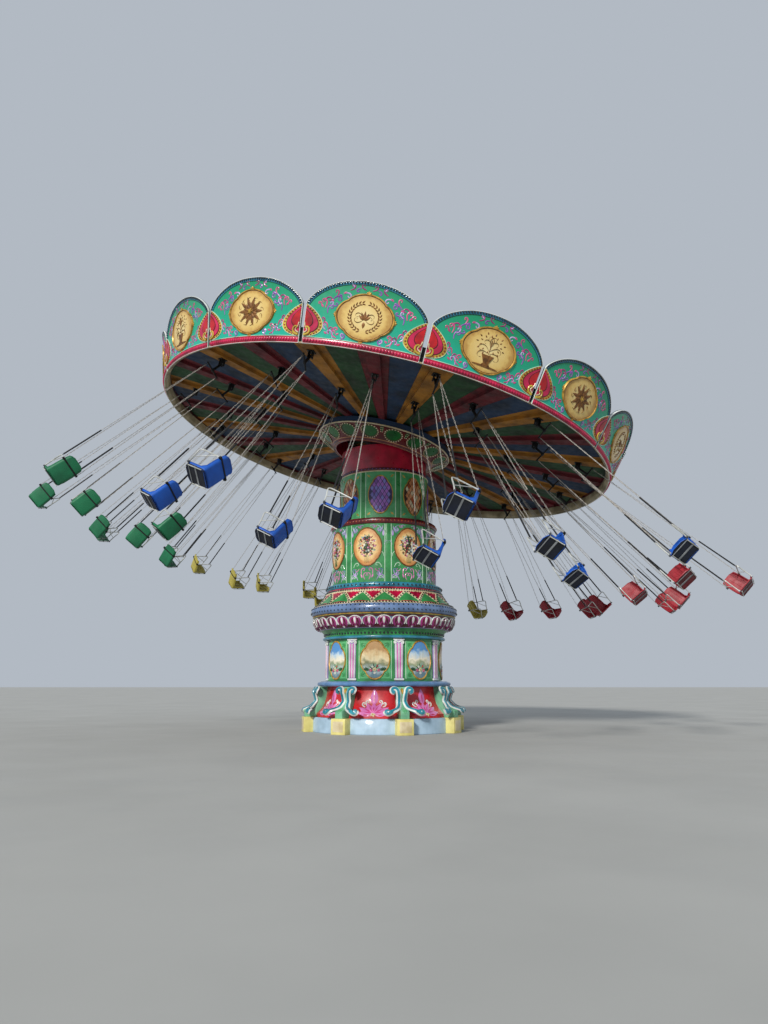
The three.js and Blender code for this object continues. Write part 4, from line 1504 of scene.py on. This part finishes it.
@dataclass
class CrownPanel:
    """One scalloped panel: blended ground, lit arch, medallion, half hearts and scrollwork."""

    half: float = 1.2
    side: float = 0.77  # height at the shoulders
    middle: float = 1.31  # height at the middle
    medallion: Point2 = (0.568, 0.445)
    up: float = 0.617  # height of the medallion's middle
    # Share of the medallion, finish and steps of its frame, of a dark line (painted shadow inside the frame)
    # and of its picture.
    medallion_layers: tuple[tuple[float, str, Line], ...] = (
        (1, "gold_leaf",
         ((1, 0.012), (0.975, 0.036), (0.945, 0.036), (0.92, 0.014), (0.6, 0.014), (0, 0.014))),
        # a thin dark ring between frame and picture: painted shadow of the frame
        (0.925, "oxblood", ((1, 0.017), (0.985, 0.017), (0.98, 0.0175))),
        (0.905, "gilt_plaque",
         ((1, 0.018), (0.8, 0.02), (0.6, 0.021), (0.4, 0.021), (0.2, 0.021), (0, 0.021))))
    wall: Wall = Wall((crown_face(0.0), crown_face(1.31)), ruled=5.903)
    heart_edge: float = 0.018  # trim at the panel's side that the hearts stop at
    heart_up: float = 0.455
    # Inset, width, thickness and finish of the mouldings along the arch.
    arch_strips: tuple[tuple[float, float, float, str], ...] = (
        (0.042, 0.066, 0.012, "arch_blue"), (0.005, 0.018, 0.022, "white"),
        (0.079, 0.010, 0.010, "bottle_green"))
    # Height, width, thickness and finish of the mouldings along the foot.
    foot_strips: tuple[tuple[float, float, float, str], ...] = (
        (0.066, 0.112, 0.016, "crimson"), (0.130, 0.015, 0.012, "pale_line"),
        (0.004, 0.012, 0.012, "white"))
    # Half width, half height, middle, lift and paint of a heart's layers.
    heart_layers: tuple[tuple[float, float, float, float, str], ...] = (
        (0.485, 0.315, 0.455, 0.012, "yellow"), (0.385, 0.27, 0.455, 0.017, "oxblood"),
        (0.362, 0.255, 0.455, 0.021, "rose"), (0.235, 0.19, 0.48, 0.025, "oxblood"),
        (0.212, 0.175, 0.48, 0.029, "scarlet"))
    heart_curls: tuple[tuple[Line, float, str], ...] = (
        (((1.172, 0.16), (1.10, 0.175), (1.055, 0.23), (1.065, 0.30), (1.12, 0.33), (1.145, 0.295),
          (1.12, 0.27)), 0.024, "yellow"),
        (((1.176, 0.20), (1.13, 0.22), (1.105, 0.26), (1.125, 0.295)), 0.016, "cream"),
        (((1.176, 0.40), (1.165, 0.345), (1.15, 0.305)), 0.014, "cream"))
    scroll_paints: tuple[str, ...] = ("purple", "pink", "lilac", "magenta")
    # Start, heading, length and turn of each scroll of the left half.
    scrolls: tuple[tuple[Point2, float, float, float], ...] = (
        ((-0.74, 0.62), 100, 0.34, -320), ((-0.80, 0.72), 70, 0.34, 320), ((-0.72, 0.74), 30, 0.22, 300),
        ((-0.84, 0.84), 60, 0.30, -310), ((-0.68, 0.88), 50, 0.36, -320), ((-0.60, 0.96), 60, 0.22, 300),
        ((-0.48, 1.02), 20, 0.30, -310), ((-0.36, 1.10), 20, 0.24, 300), ((-0.66, 0.78), -20, 0.18, 290),
        ((-0.50, 0.16), 160, 0.30, -320), ((-0.58, 0.15), 90, 0.32, 300), ((-0.66, 0.22), 110, 0.26, -300),
        ((-0.42, 0.135), 20, 0.24, 300), ((-0.70, 0.34), 95, 0.24, 310), ((-0.74, 0.30), 150, 0.20, -300),
        ((-0.06, 1.14), 165, 0.24, -310), ((-0.16, 1.16), 190, 0.18, 300), ((-0.60, 0.30), 60, 0.20, -300),
        ((-0.36, 0.17), 150, 0.18, -300), ((-0.78, 0.44), 80, 0.18, 300), ((-0.56, 0.90), 100, 0.18, -300),
        ((-0.88, 0.74), 90, 0.18, 280), ((-0.28, 1.17), 150, 0.18, -290))
    # Place and heading of each small leaf of the right half.
    buds: tuple[Point3, ...] = (
        (0.84, 0.72, 60), (0.64, 0.86, 20), (0.48, 1.02, 150), (0.70, 0.22, 30), (0.52, 0.22, 150),
        (0.82, 0.84, 100))
    urn: Line = (
        (-0.1, -0.3), (0.1, -0.3), (0.06, -0.25), (0.12, -0.13), (0.14, -0.08), (-0.14, -0.08),
        (-0.12, -0.13), (-0.06, -0.25))
    branches: tuple[tuple[float, float, float, float], ...] = (
        (-0.02, 50, 0.42, -260), (0.06, 65, 0.36, 240), (-0.06, 20, 0.40, -250), (0.14, 40, 0.24, -220))

    def arch(self, inset: float, count: int = 40) -> list[Point2]:
        """Return the arch from one shoulder to the other.

        Args:
            inset: How far it is moved in from the edge.
            count: Steps along it.
        Returns:
            Its points.
        """
        line = []
        for i in range(count + 1):
            share = -cos(pi * i / count)
            rise = max(0.0, 1 - abs(share) ** 2.2) ** 0.7
            line.append((share * self.half, self.side + (self.middle - self.side) * rise))
        if not inset:
            return line
        points = np.array(line)
        along = np.gradient(points, axis=0)
        along /= np.linalg.norm(along, axis=1)[:, None]
        moved_in = points + inset * np.column_stack([along[:, 1], -along[:, 0]])
        reach = self.half - inset * 0.6
        return [(float(np.clip(x, -reach, reach)), float(y)) for x, y in moved_in]

    def ground(self) -> list[Piece]:
        """Return the painted front and the grey back with its battens."""
        outline = [(-self.half, 0.0), (self.half, 0.0), *self.arch(0)[::-1]]
        shapes = [moved(plate(outline, 0.008, "teal", 0, 0.12), 0, 0, -0.008),
                  moved(plate(outline, 0.034, "panel_back_paint", 0, 0.24), 0, 0, -0.0425)]
        for x, length, y in ((-0.8, 0.7, 0.62), (0.0, 1.0, 0.72), (0.8, 0.7, 0.62)):
            shapes.append(block((0.06, length, 0.04), (x, y, -0.062), "panel_back_paint", 0.004))
        return shapes

    def edging(self) -> list[Piece]:
        """Return the arch border with its lamps, the white edge, the side trims and the lower band."""
        shapes = [strip(self.arch(inset), *size) for inset, *size in self.arch_strips]
        shapes.append(caps_along(self.arch(0.034), 0.055, 0.023, lift=0.011))
        shapes += upright_pair(self.half - 0.008, 0.005, self.side, 0.018, 0.014, "white")
        across = np.linspace(0.01 - self.half, self.half - 0.01, 25)
        shapes += [strip([(x, y) for x in across], *size) for y, *size in self.foot_strips]
        shapes.append(caps_along([(x, self.foot_strips[0][0]) for x in across], 0.062, 0.031, "rose", 0.012))
        return shapes

    def heart_outline(self, width: float, height: float, up: float, count: int = 22) -> list[Point2]:
        """Return the edge of a half heart that stands against the panel's right side."""
        points = []
        for turn in np.linspace(0, pi, count + 1):
            out = width * sin(turn) * sin(turn / 2) ** 0.9
            points.append((self.half - self.heart_edge - out, up + height * cos(turn)))
        return points

    def half_heart(self, side: int) -> list[Piece]:
        """Return the half heart at one side: dotted border, three reds and a curl."""
        def placed(line: Sequence[Point2]) -> list[Point2]:
            """Points at this side of the panel."""
            return [(side * x, y) for x, y in line]

        shapes = []
        for width, height, up, lift, paint in self.heart_layers:
            middle = (side * (self.half - self.heart_edge - width * 0.3), up - 0.04)
            outline = placed(self.heart_outline(width, height, up))
            shapes.append(medal(outline, [(0.985, lift), (0, lift + 0.002)], paint, middle))
        rim = placed(self.heart_outline(*self.heart_layers[0][:3]))
        dots = placed(self.heart_outline(0.43, 0.29, self.heart_up))
        shapes += [
            strip(rim, 0.016, 0.016, "pale_line"), caps_along(dots[1:-1], 0.062, 0.021, "rust", 0.011)]
        for line, thick, paint in self.heart_curls:
            taper = [1.0 - 0.5 * i / (len(line) - 1) for i in range(len(line))]
            shapes.append(flattened(tube(placed(line), thick, paint, taper), 0.7, 0.032))
        return shapes

    def scrollwork(self) -> list[Piece]:
        """Return the purple scrolls of the corners and of the top."""
        shapes = []
        for index, stroke in enumerate(self.scrolls):
            paint = self.scroll_paints[index % len(self.scroll_paints)]
            shapes += scroll_pair(*stroke, 0.026, paint, 0.006, 7)
        for x, y, heading in self.buds:
            shapes += leaf_pair((x, y), heading, 0.08, 0.04, "pink", 0.010, 5)
        return shapes

    def plaque(self) -> list[Piece]:
        """Return the gilt medallion and its frame with four finials."""
        up = self.up
        rim = oval(*self.medallion, (0, up), 0.085, 56)
        shapes = [medal(scaled(rim, share, share, up), steps, finish, (0, up))
                  for share, finish, steps in self.medallion_layers]
        for heading, reach in ((0, 0.588), (90, 0.468), (180, 0.588), (270, 0.468)):
            foot = polar(reach * 0.97, heading, up)
            shapes += [leaf(foot, heading + bend, 0.06, 0.035, "gold_leaf", 0.02, 5) for bend in (-55, 0, 55)]
        return shapes

    def plant_in_urn(self) -> list[Piece]:
        """Return a branching plant in an urn on a line of ground."""
        up = self.up
        shapes = [medal([(x, y + up) for x, y in self.urn], [(0.9, 0.034), (0, 0.038)], "antique_gold",
                        (0, up - 0.18)),
                  scroll([(0, up - 0.08), (0.01, up + 0.06), (0, up + 0.2)], 0.04, "antique_gold", 0.034),
                  medal(oval(0.3, 0.022, (0, up - 0.31), count=20), [(0.9, 0.03), (0, 0.032)], "antique_gold",
                        (0, up - 0.31))]
        for y, heading, length, turn in self.branches:
            shapes += scroll_pair((0, up + y), heading, length, turn, 0.022, "antique_gold", 0.032)
        for i in range(22):
            angle, reach = 2 * pi * i / 22, 0.24 if i % 2 else 0.17
            place = (reach * 1.05 * cos(angle), up + 0.12 + reach * 0.72 * sin(angle))
            shapes.append(leaf(place, degrees(angle), 0.075, 0.036, "antique_gold", 0.032, 5))
        return shapes

    def rosette(self) -> list[Piece]:
        """Return two rings of leaves round a flower, in a ring of curls."""
        shapes = [moved(blossom((0, self.up), 0.07, "gold_leaf"), 0, 0, 0.04)]
        for ring, start, *size, height in ((0.05, 0, 0.28, 0.09, 0.034), (0.03, 18, 0.17, 0.06, 0.042)):
            for heading in range(start, start + 360, 36):
                shapes.append(leaf(polar(ring, heading, self.up), heading, *size, "antique_gold", height))
        for i, start in enumerate(oval(0.33, 0.29, (0, self.up), count=12)):
            shapes.append(scroll(curl(start, 30 * i + 100, 0.17, 270, 7), 0.018, "antique_gold", 0.03))
        return shapes

    def wreath(self) -> list[Piece]:
        """Return a wreath of leaves round a small plant between two curls."""
        up = self.up
        shapes = [leaf((0, up - 0.08), -90, 0.14, 0.07, "antique_gold", 0.036)]
        for heading in np.linspace(-80, 70, 13):
            place = (0.29 * cos(radians(heading)), up + 0.27 * sin(radians(heading)))
            for bend in (62, 120):
                shapes += leaf_pair(place, heading + bend, 0.10, 0.04, "antique_gold", 0.032, 5)
        for y, heading, turn in ((-0.02, 60, -300), (-0.05, -40, 300)):
            shapes += scroll_pair((0.02, up + y), heading, 0.32, turn, 0.026, "antique_gold", 0.032)
        for i in range(-2, 3):
            shapes.append(leaf((0, up - 0.06), 90 + i * 26, 0.2 - 0.02 * abs(i), 0.06, "antique_gold", 0.038))
        return shapes

    def build(self, motif: int) -> Piece:
        """Return the finished panel, bent to the crown at azimuth 0.

        Args:
            motif: 0 for the plant in an urn, 1 for the rosette, 2 for the wreath.
        Returns:
            The panel.
        """
        relief = (self.plant_in_urn, self.rosette, self.wreath)[motif]()
        hearts = [*self.half_heart(1), *self.half_heart(-1)]
        return self.wall.fit(joined([*self.ground(), *self.edging(), *hearts, *self.scrollwork(),
                                     *self.plaque(), *relief]))


@dataclass
class Crown:
    """Rim band with its sole and chamfer, and the fifteen panels that lean outwards on it."""

    panels: int = 15
    first_middle: float = 289.16  # degrees to the middle of the first panel
    motifs: int = 3
    struts_at: Point2 = (-0.8, 0.8)
    strut: tuple[Point3, ...] = ((5.42, 0, 0.30), (5.93, 0, 0.62))
    # Band behind the panels, cream sole, dark line at the ceiling and the lip inside.
    rims: tuple[tuple[str, Line], ...] = (
        ("black_steel", ((5.74, -0.03), crown_face(0.03, 0.05), crown_face(0.335, 0.05),
                         crown_face(0.335, 0.075), (5.715, 0.24), (5.7085, 0.2))),
        ("rim_cream_paint", ((5.7085, -0.0345), (5.762, -0.088), (5.785, -0.0885), crown_face(0.03, 0.002),
                             crown_face(0.03, 0.048), (5.73, -0.03), (5.7085, 0.05))),
        ("oxblood", ((5.70, 0.122), (5.712, 0.118), (5.712, 0.182), (5.70, 0.184))),
        ("rim_cream_paint", ((5.700, -0.02), (5.712, -0.036), (5.7195, -0.03), (5.7195, 0.116),
                             (5.70, 0.12))))

    def struts(self) -> None:
        """Build the raking struts that hold the panels from behind."""
        foot = self.strut[0][0]
        shapes = []
        for x in self.struts_at:
            turn = Matrix.Rotation(x / 5.9, 4, "Z")
            for piece in (tube(self.strut, 0.02, "grey_steel", smooth=1),
                          block((0.12, 0.08, 0.02), (foot, 0, 0.285), "grey_steel", 0.003)):
                piece.data.transform(turn)
                shapes.append(piece)
        struts = repeated(joined(shapes), turns(self.panels, self.first_middle))
        settle(struts, "crown_struts", Body.ROOF, place=ROOF)

    def build(self) -> None:
        """Build the rim, the struts and every panel."""
        rims = [turned(section, finish, ROOF_SIDES) for finish, section in self.rims]
        settle(joined(rims), "crown_rim", Body.ROOF, ["crown"], place=ROOF)
        self.struts()
        masters = [CrownPanel().build(motif) for motif in range(self.motifs)]
        for index, turn in enumerate(turns(self.panels, self.first_middle)):
            panel = copied(masters[index % self.motifs], turn)
            settle(panel, f"crown_panel_{index + 1:02d}", Body.ROOF, place=ROOF)
        for master in masters:
            bpy.data.objects.remove(master)


@dataclass
class RoofCover:
    """Low sheet-metal cone with standing seams, and a capped vent on top."""

    sheet: Line = (
        (5.60, 0.2403), (5.64, 0.2403), (5.64, 0.29), (0.3, 0.9), (0, 0.9), (0, 0.87), (0.295, 0.87),
        (5.60, 0.262))
    rim: Line = ((5.62, 0.262), (5.652, 0.262), (5.655, 0.285), (5.645, 0.296), (5.62, 0.296))
    sides: int = 60
    seams: int = 30
    seam: Point3 = (5.2, 0.018, 0.03)
    seam_middle: Point2 = (2.97, 0.596)

    def build(self) -> None:
        """Build the cone, its seams and its rim."""
        (eaves, low), (vent, high) = self.sheet[2:4]
        seam = block(self.seam, (0, 0, 0.01), "cover_grey_paint", 0.003)
        radius, height = self.seam_middle
        seam.data.transform(Matrix.Translation((radius, 0, height))
                            @ Matrix.Rotation(atan2(high - low, eaves - vent), 4, "Y"))
        shapes = [turned(self.sheet, "cover_grey_paint", self.sides), repeated(seam, turns(self.seams)),
                  turned(self.rim, "grey_steel", self.sides)]
        settle(joined(shapes), "sheet_metal_cover", Body.ROOF, ["roof_cover"], place=ROOF)


# The swings: where each hangs and how it flies, then the seat itself.


@dataclass(frozen=True)
class Hang:
    """One swing's place on the roof."""

    ring: str
    bay: int
    radius: float
    azimuth: float

    @property
    def number(self) -> str:
        """Its number in its ring, as the frame writes it."""
        return f"{self.bay + 1:02d}"

    @property
    def colour(self) -> SeatColour:
        """Seat colour, by bay."""
        for colour, bays in ((SeatColour.BLUE, (2, 3, 4)), (SeatColour.RED, (5, 6, 7)),
                             (SeatColour.YELLOW, (8, 9, 10))):
            if self.bay in bays:
                return colour
        return SeatColour.GREEN

    def place(self) -> Matrix:
        """Return the swing's frame: X along its travel, Z up its chains, origin at its pin."""
        pin_at = ROOF @ Vector((*polar(self.radius, self.azimuth), 0))
        fly = radians(43.55 + 5.046 * (self.radius - 4.28) - 1.88 * cos(radians(self.azimuth + 104.75))
                  + 2.49 * cos(radians(2 * self.azimuth - 15.77)))
        course = radians(self.azimuth + 3.84 + 13.86 * cos(radians(self.azimuth - 92.4)))
        up = Vector((-sin(fly) * cos(course), -sin(fly) * sin(course), cos(fly)))
        travel = ROOF_NORMAL.cross(up).normalized()
        return matrix_of(travel, up.cross(travel), up, pin_at)


def matrix_of(x: Vector, y: Vector, z: Vector, origin: Vector) -> Matrix:
    """Return the frame with these axes and this origin."""
    rows = [(x[i], y[i], z[i], origin[i]) for i in range(3)]
    return Matrix((*rows, (0, 0, 0, 1)))


def all_swings() -> list[Hang]:
    """Return the thirty-six places, ring by ring."""
    return [Hang(ring, bay, radius, BAY_START + shift + 30 * bay)
            for ring, radius, shift in (("outer", 5.04, 0), ("middle", 4.28, -15), ("inner", 3.275, 0))
            for bay in range(BAYS)]


def bracket_place(swing: Hang) -> Matrix:
    """Return the frame of a swing's fork, upright in the roof's frame."""
    place = swing.place()
    travel, pin_at = Vector(place.col[0][:3]), Vector(place.col[3][:3])
    return ROOF.inverted() @ matrix_of(travel, ROOF_NORMAL.cross(travel), ROOF_NORMAL, pin_at)


@dataclass
class Swing:
    """Moulded seat in a tube frame, hung by four chains from a spreader bar.

    The seat's own frame stands level, with X to its front edge, Z up its back and the origin where
    pan and back meet; leant() takes it to the swing's frame.
    """

    half: float = 0.195  # half the seat's width
    pan: float = 0.43
    back: float = 0.55
    rim: float = 0.055  # height of the side rims
    gusset: float = 0.18  # where the slanted edge between the side rims would meet the pan
    shell: float = 0.014
    corner: float = 0.045  # rounding of the shell's edges
    taper: float = 0.14  # how much narrower the back is at its top
    taper_at: Sequence[float] = (0.25, 0.33, 0.4, 0.46, 0.51)
    corner_cuts: Sequence[Point2] = ((0.09, 0.4), (0.128, 1.0), (0.158, 2.4))  # place across, slope
    ribs_at: Sequence[float] = (-0.1, 0.0, 0.1)
    pitch: float = radians(18)
    bend: Sequence[float] = (-0.19, 0.0, -4.68)  # where pan and back meet
    lug: Sequence[float] = (0.04, 0.05, 0.30)
    spreader: float = -0.285
    spreader_half: float = 0.21
    shackle_at: float = 0.18
    apex: Sequence[float] = (0.073, 0.213, -4.160)
    rear: Sequence[float] = (-0.265, 0.213, -4.290)
    arm: Sequence[Point2] = (
        (0.375, 0.02), (0.395, 0.10), (0.435, 0.22), (0.485, 0.335), (0.497, 0.388), (0.455, 0.412),
        (0.24, 0.40), (0.02, 0.385))
    side_bar: Sequence[Point2] = ((0.425, 0.175), (0.13, 0.385))
    # Size, place and finish of the straps under the pan and across the back.
    straps: Sequence[tuple] = (
        ((0.032, 0.405, 0.008), (0.20, 0, -0.005), "strap_grey_paint"),
        ((0.014, 0.41, 0.008), (0.36, 0, -0.005), "strap_grey_paint"),
        ((0.008, 0.42, 0.028), (-0.005, 0, 0.385), "black_steel"))
    # Size along, place and finish of the clamps at the arm's foot and at its rear end.
    clamps: Sequence[tuple] = (
        (0.03, (0.375, 0.212, 0.03), "grey_steel"), (0.042, (0.022, 0.208, 0.385), "black_steel"))
    link_pitch: float = 0.082
    eye: float = 0.0092  # middle radius of a link's round end
    wire: float = 0.0039
    sleeve: float = 0.9

    def leant(self, piece: Piece) -> Piece:
        """Lean a piece of the level seat back and move it under the pin."""
        piece.data.transform(Matrix.Translation(self.bend) @ Matrix.Rotation(-self.pitch, 4, "Y"))
        return piece

    def tub(self) -> Piece:
        """Mould the open shell: pan and back with rounded corners and low side rims."""
        piece = block((self.pan, 2 * self.half, self.back), (self.pan / 2, 0, self.back / 2))
        self.bisect(piece, (self.rim, 0, 0), (1, 0, 0))
        self.bisect(piece, (0, 0, self.rim), (0, 0, 1))
        self.bisect(piece, (self.gusset, 0, 0), (1, 0, 1))
        cut_away(piece, lambda face: face.normal.z > 0.5 or face.normal.x > 0.5 or (
            abs(face.normal.y) > 0.5 and min(face.center.x, face.center.z) > self.rim
            and face.center.x + face.center.z > self.gusset))
        with editing(piece):
            bpy.ops.mesh.select_all(action="DESELECT")
            bpy.ops.mesh.edges_select_sharp(sharpness=radians(40))
            bpy.ops.mesh.bevel(offset=self.corner, segments=3, affect="EDGES")
        for height in self.taper_at:
            self.bisect(piece, (0, 0, height), (0, 0, 1))
        points = points_of(piece)
        low = self.taper_at[0]
        rise = np.clip((points[:, 2] - low) / (self.back - low), 0, 1)
        points[:, 1] *= 1 - self.taper * rise ** 2
        put(piece, points)
        for cut, lean in self.corner_cuts:
            for side in (cut, -cut):
                turn = copysign(lean, side)
                self.bisect(piece, (0, side, self.back), (0, turn, 1), True)
                self.bisect(piece, (self.pan, side, 0), (1, turn, 0), True)
        return sealed(piece)

    def bisect(self, piece: Piece, place: Sequence[float], normal: Sequence[float],
               clear: bool = False) -> None:
        """Cut the shell by a plane, and drop what lies outside it where that is asked."""
        with editing(piece):
            bpy.ops.mesh.bisect(plane_co=place, plane_no=normal, clear_outer=clear)

    def lip(self, shell: Piece) -> Piece:
        """Roll a lip along the open edge of the shell."""
        edge = copied(shell, Matrix())
        with editing(edge):
            bpy.ops.mesh.select_mode(type="EDGE")
            bpy.ops.mesh.select_all(action="DESELECT")
            bpy.ops.mesh.select_non_manifold(extend=False)
            bpy.ops.mesh.select_all(action="INVERT")
            bpy.ops.mesh.delete(type="EDGE")
            bpy.ops.mesh.select_mode(type="VERT")
        only(edge)
        bpy.ops.object.convert(target="CURVE")
        edge.data.bevel_depth, edge.data.bevel_resolution = 0.010, 0
        bpy.ops.object.convert(target="MESH")
        return sealed(bpy.context.active_object)

    def seat(self) -> Piece:
        """Return the shell with its thickness, its rolled lip, its ribs and the bottom of its pan in painted
        shade.
        """
        shell = self.tub()
        lip = self.lip(shell)
        wall = shell.modifiers.new("wall", "SOLIDIFY")
        wall.thickness = self.shell
        only(shell)
        bpy.ops.object.modifier_apply(modifier="wall")
        shapes = [sealed(shell), lip]
        for y in self.ribs_at:
            shapes += [block((0.28, 0.028, 0.010), (0.23, y, 0.017)),
                       block((0.010, 0.028, 0.34), (0.017, y, 0.29))]
        made = painted(joined(shapes), "seat_blue_polyethylene")
        # Faces that look down under the pan get a darker finish: painted shade.
        made.data.materials.append(finish_of("seat_blue_underside"))
        for face in made.data.polygons:
            if face.normal.z < -0.6 and face.center.z < 0.03:
                face.material_index = 1
        return self.leant(made)

    def frame(self) -> list[Piece]:
        """Return the tube frame: arms, side bars, foot rails, straps and clamps."""
        shapes, rings = [], []
        for side in (1, -1):
            y = side * self.apex[1]
            shapes += [tube([(x, y, z) for x, z in self.arm], 0.0125, "tube_white_paint", smooth=2),
                       tube([(x, y, z) for x, z in self.side_bar], 0.008, "tube_white_paint", smooth=1),
                       tube([(x, side * 0.182, -0.009) for x in (0.36, 0.05)], 0.009, "tube_white_paint",
                            smooth=1)]
            shapes += [block((size, 0.036, size), (x, side * out, z), finish)
                       for size, (x, out, z), finish in self.clamps]
            rings.append(loop(0.026, 0.0065, (self.apex[0], y, self.apex[2] + 0.022)))
        shapes += [block(*strap) for strap in self.straps]
        return [*rings, *map(self.leant, shapes)]

    def chain(self, top: Vector, foot: Vector) -> Piece:
        """Return one welded chain, each link turned a quarter against the last.

        Args:
            top: Its upper end.
            foot: Its lower end.
        Returns:
            The chain.
        """
        link = add(bpy.ops.mesh.primitive_torus_add, major_radius=self.eye, minor_radius=self.wire,
                   major_segments=6, minor_segments=3)
        points = points_of(link)
        stretch = self.link_pitch / 2 - self.eye + self.wire
        points[:, 0] += np.sign(np.round(points[:, 0], 5)) * stretch
        put(link, points)
        run = foot - top
        count = round(run.length / self.link_pitch)
        turn = run.to_track_quat("X", "Z").to_matrix().to_4x4()
        places = []
        for i in range(count):
            roll = Matrix.Rotation(pi / 4 + pi / 2 * (i % 2), 4, "X")
            places.append(Matrix.Translation(top + run * ((i + 0.5) / count)) @ turn @ roll)
        return painted(repeated(link, places), "galvanised_steel")

    def rigging(self) -> Piece:
        """Return lug, spreader bar, hooks, four chains and the sleeves of the front pair."""
        bar = [(0, side * self.spreader_half, self.spreader) for side in (-1, 1)]
        shapes = [block(self.lug, (0, 0, -0.125), "black_steel", 0.006),
                  block((0.05, 0.07, 0.05), (0, 0, self.spreader), "black_steel", 0.008),
                  tube(bar, 0.018, "black_steel", rounds=3, smooth=1)]
        for side in (1, -1):
            top = Vector((0, side * self.shackle_at, self.spreader - 0.05))
            front = Vector((self.apex[0], side * self.apex[1], self.apex[2] + 0.035))
            rear = Vector((self.rear[0], side * self.rear[1], self.rear[2] + 0.01))
            grip = top + (front - top) * (1 - self.sleeve / (front - top).length)
            shapes += [loop(0.024, 0.007, (0, side * self.shackle_at, self.spreader - 0.03)),
                       self.chain(top, front), self.chain(top, rear),
                       tube([grip, front], 0.0165, "sleeve_pvc", smooth=1)]
        return joined([*shapes, *self.frame()])


@dataclass
class SwingSet:
    """All thirty-six swings, copied from one seat and one set of rigging."""

    def build(self) -> None:
        """Copy the seat and the rigging to every place."""
        swing = Swing()
        seat, rigging = swing.seat(), swing.rigging()
        for hang in all_swings():
            node, body = f"swing_{hang.ring}_{hang.number}", f"{hang.ring}_swing_{hang.number}"
            colour, place = hang.colour.value, hang.place()
            made = copied(seat, place)
            # The second finish is the darker painted shade on the bottom of the pan.
            for index, part in enumerate(("polyethylene", "underside")):
                made.data.materials[index] = finish_of(f"seat_{colour}_{part}")
            settle(made, f"{node}_seat", body, [node])
            settle(copied(rigging, place), f"{node}_rigging", body)
        for master in (seat, rigging):
            bpy.data.objects.remove(master)


# The studio.


@dataclass
class Studio:
    """Pale floor, soft pale light and the camera at the photograph's place."""

    camera_place: Point3 = (0.0, -19.5, 1.13)
    pitch: float = 12.54
    lens: float = 27.04
    sensor: float = 36.0
    sky_colour: tuple[float, float, float, float] = (0.62, 0.68, 0.76, 1)
    sky: float = 0.72
    key: float = 3.1
    key_colour: Point3 = (1.0, 0.97, 0.92)
    key_width: float = 9.0  # degrees across, for a soft shadow
    key_turn: Point3 = (61.0, 0.0, -24.0)
    ground: BoardPaint = BoardPaint(
        "pale_screed", "aaaaa6", "a4a4a0", roughness=0.85, patch_mm=2600.0, grain_mm=30.0, streaks=0.0,
        bump=0.0)

    def floor(self) -> None:
        """Lay the floor: pale matt screed with faint clouds."""
        ground = add(bpy.ops.mesh.primitive_plane_add, size=400)
        ground.name = ground.data.name = "studio_floor"
        ground.data.materials.append(self.ground.material())

    def light(self) -> None:
        """Set the pale surroundings and a broad sun from the front left."""
        world = bpy.data.worlds.new("studio")
        world.use_nodes = True
        back = world.node_tree.nodes["Background"]
        back.inputs[0].default_value = self.sky_colour
        back.inputs[1].default_value = self.sky
        bpy.context.scene.world = world
        sun = bpy.data.lights.new("key", "SUN")
        sun.energy, sun.angle, sun.color = self.key, radians(self.key_width), self.key_colour
        key = bpy.data.objects.new("key", sun)
        key.rotation_euler = [radians(turn) for turn in self.key_turn]
        bpy.context.scene.collection.objects.link(key)

    def camera(self) -> None:
        """Stand the camera where the photograph was taken."""
        data = bpy.data.cameras.new("camera")
        data.sensor_width, data.lens = self.sensor, self.lens
        data.clip_end = 1000.0
        made = bpy.data.objects.new("camera", data)
        made.location = self.camera_place
        made.rotation_euler = (radians(90 + self.pitch), 0, 0)
        bpy.context.scene.collection.objects.link(made)
        bpy.context.scene.camera = made

    def build(self) -> None:
        """Set up floor, light and camera."""
        self.floor()
        self.light()
        self.camera()
        bpy.context.scene.view_settings.view_transform = "Standard"


def main() -> None:
    """Build the ride and its studio, logging each piece's faces."""
    logging.basicConfig(level=logging.INFO, format="%(name)s %(message)s")
    for part in (Plinth, Pedestal, LowerDrum, Cornice, FloralDrum, RisingMast, Collar, Ceiling, Crown,
                 RoofCover, SwingSet):
        part().build()
    painted(bpy.data.objects["tilt_head"], "grey_steel")
    Studio().build()


if __name__ == "__main__":
    main()
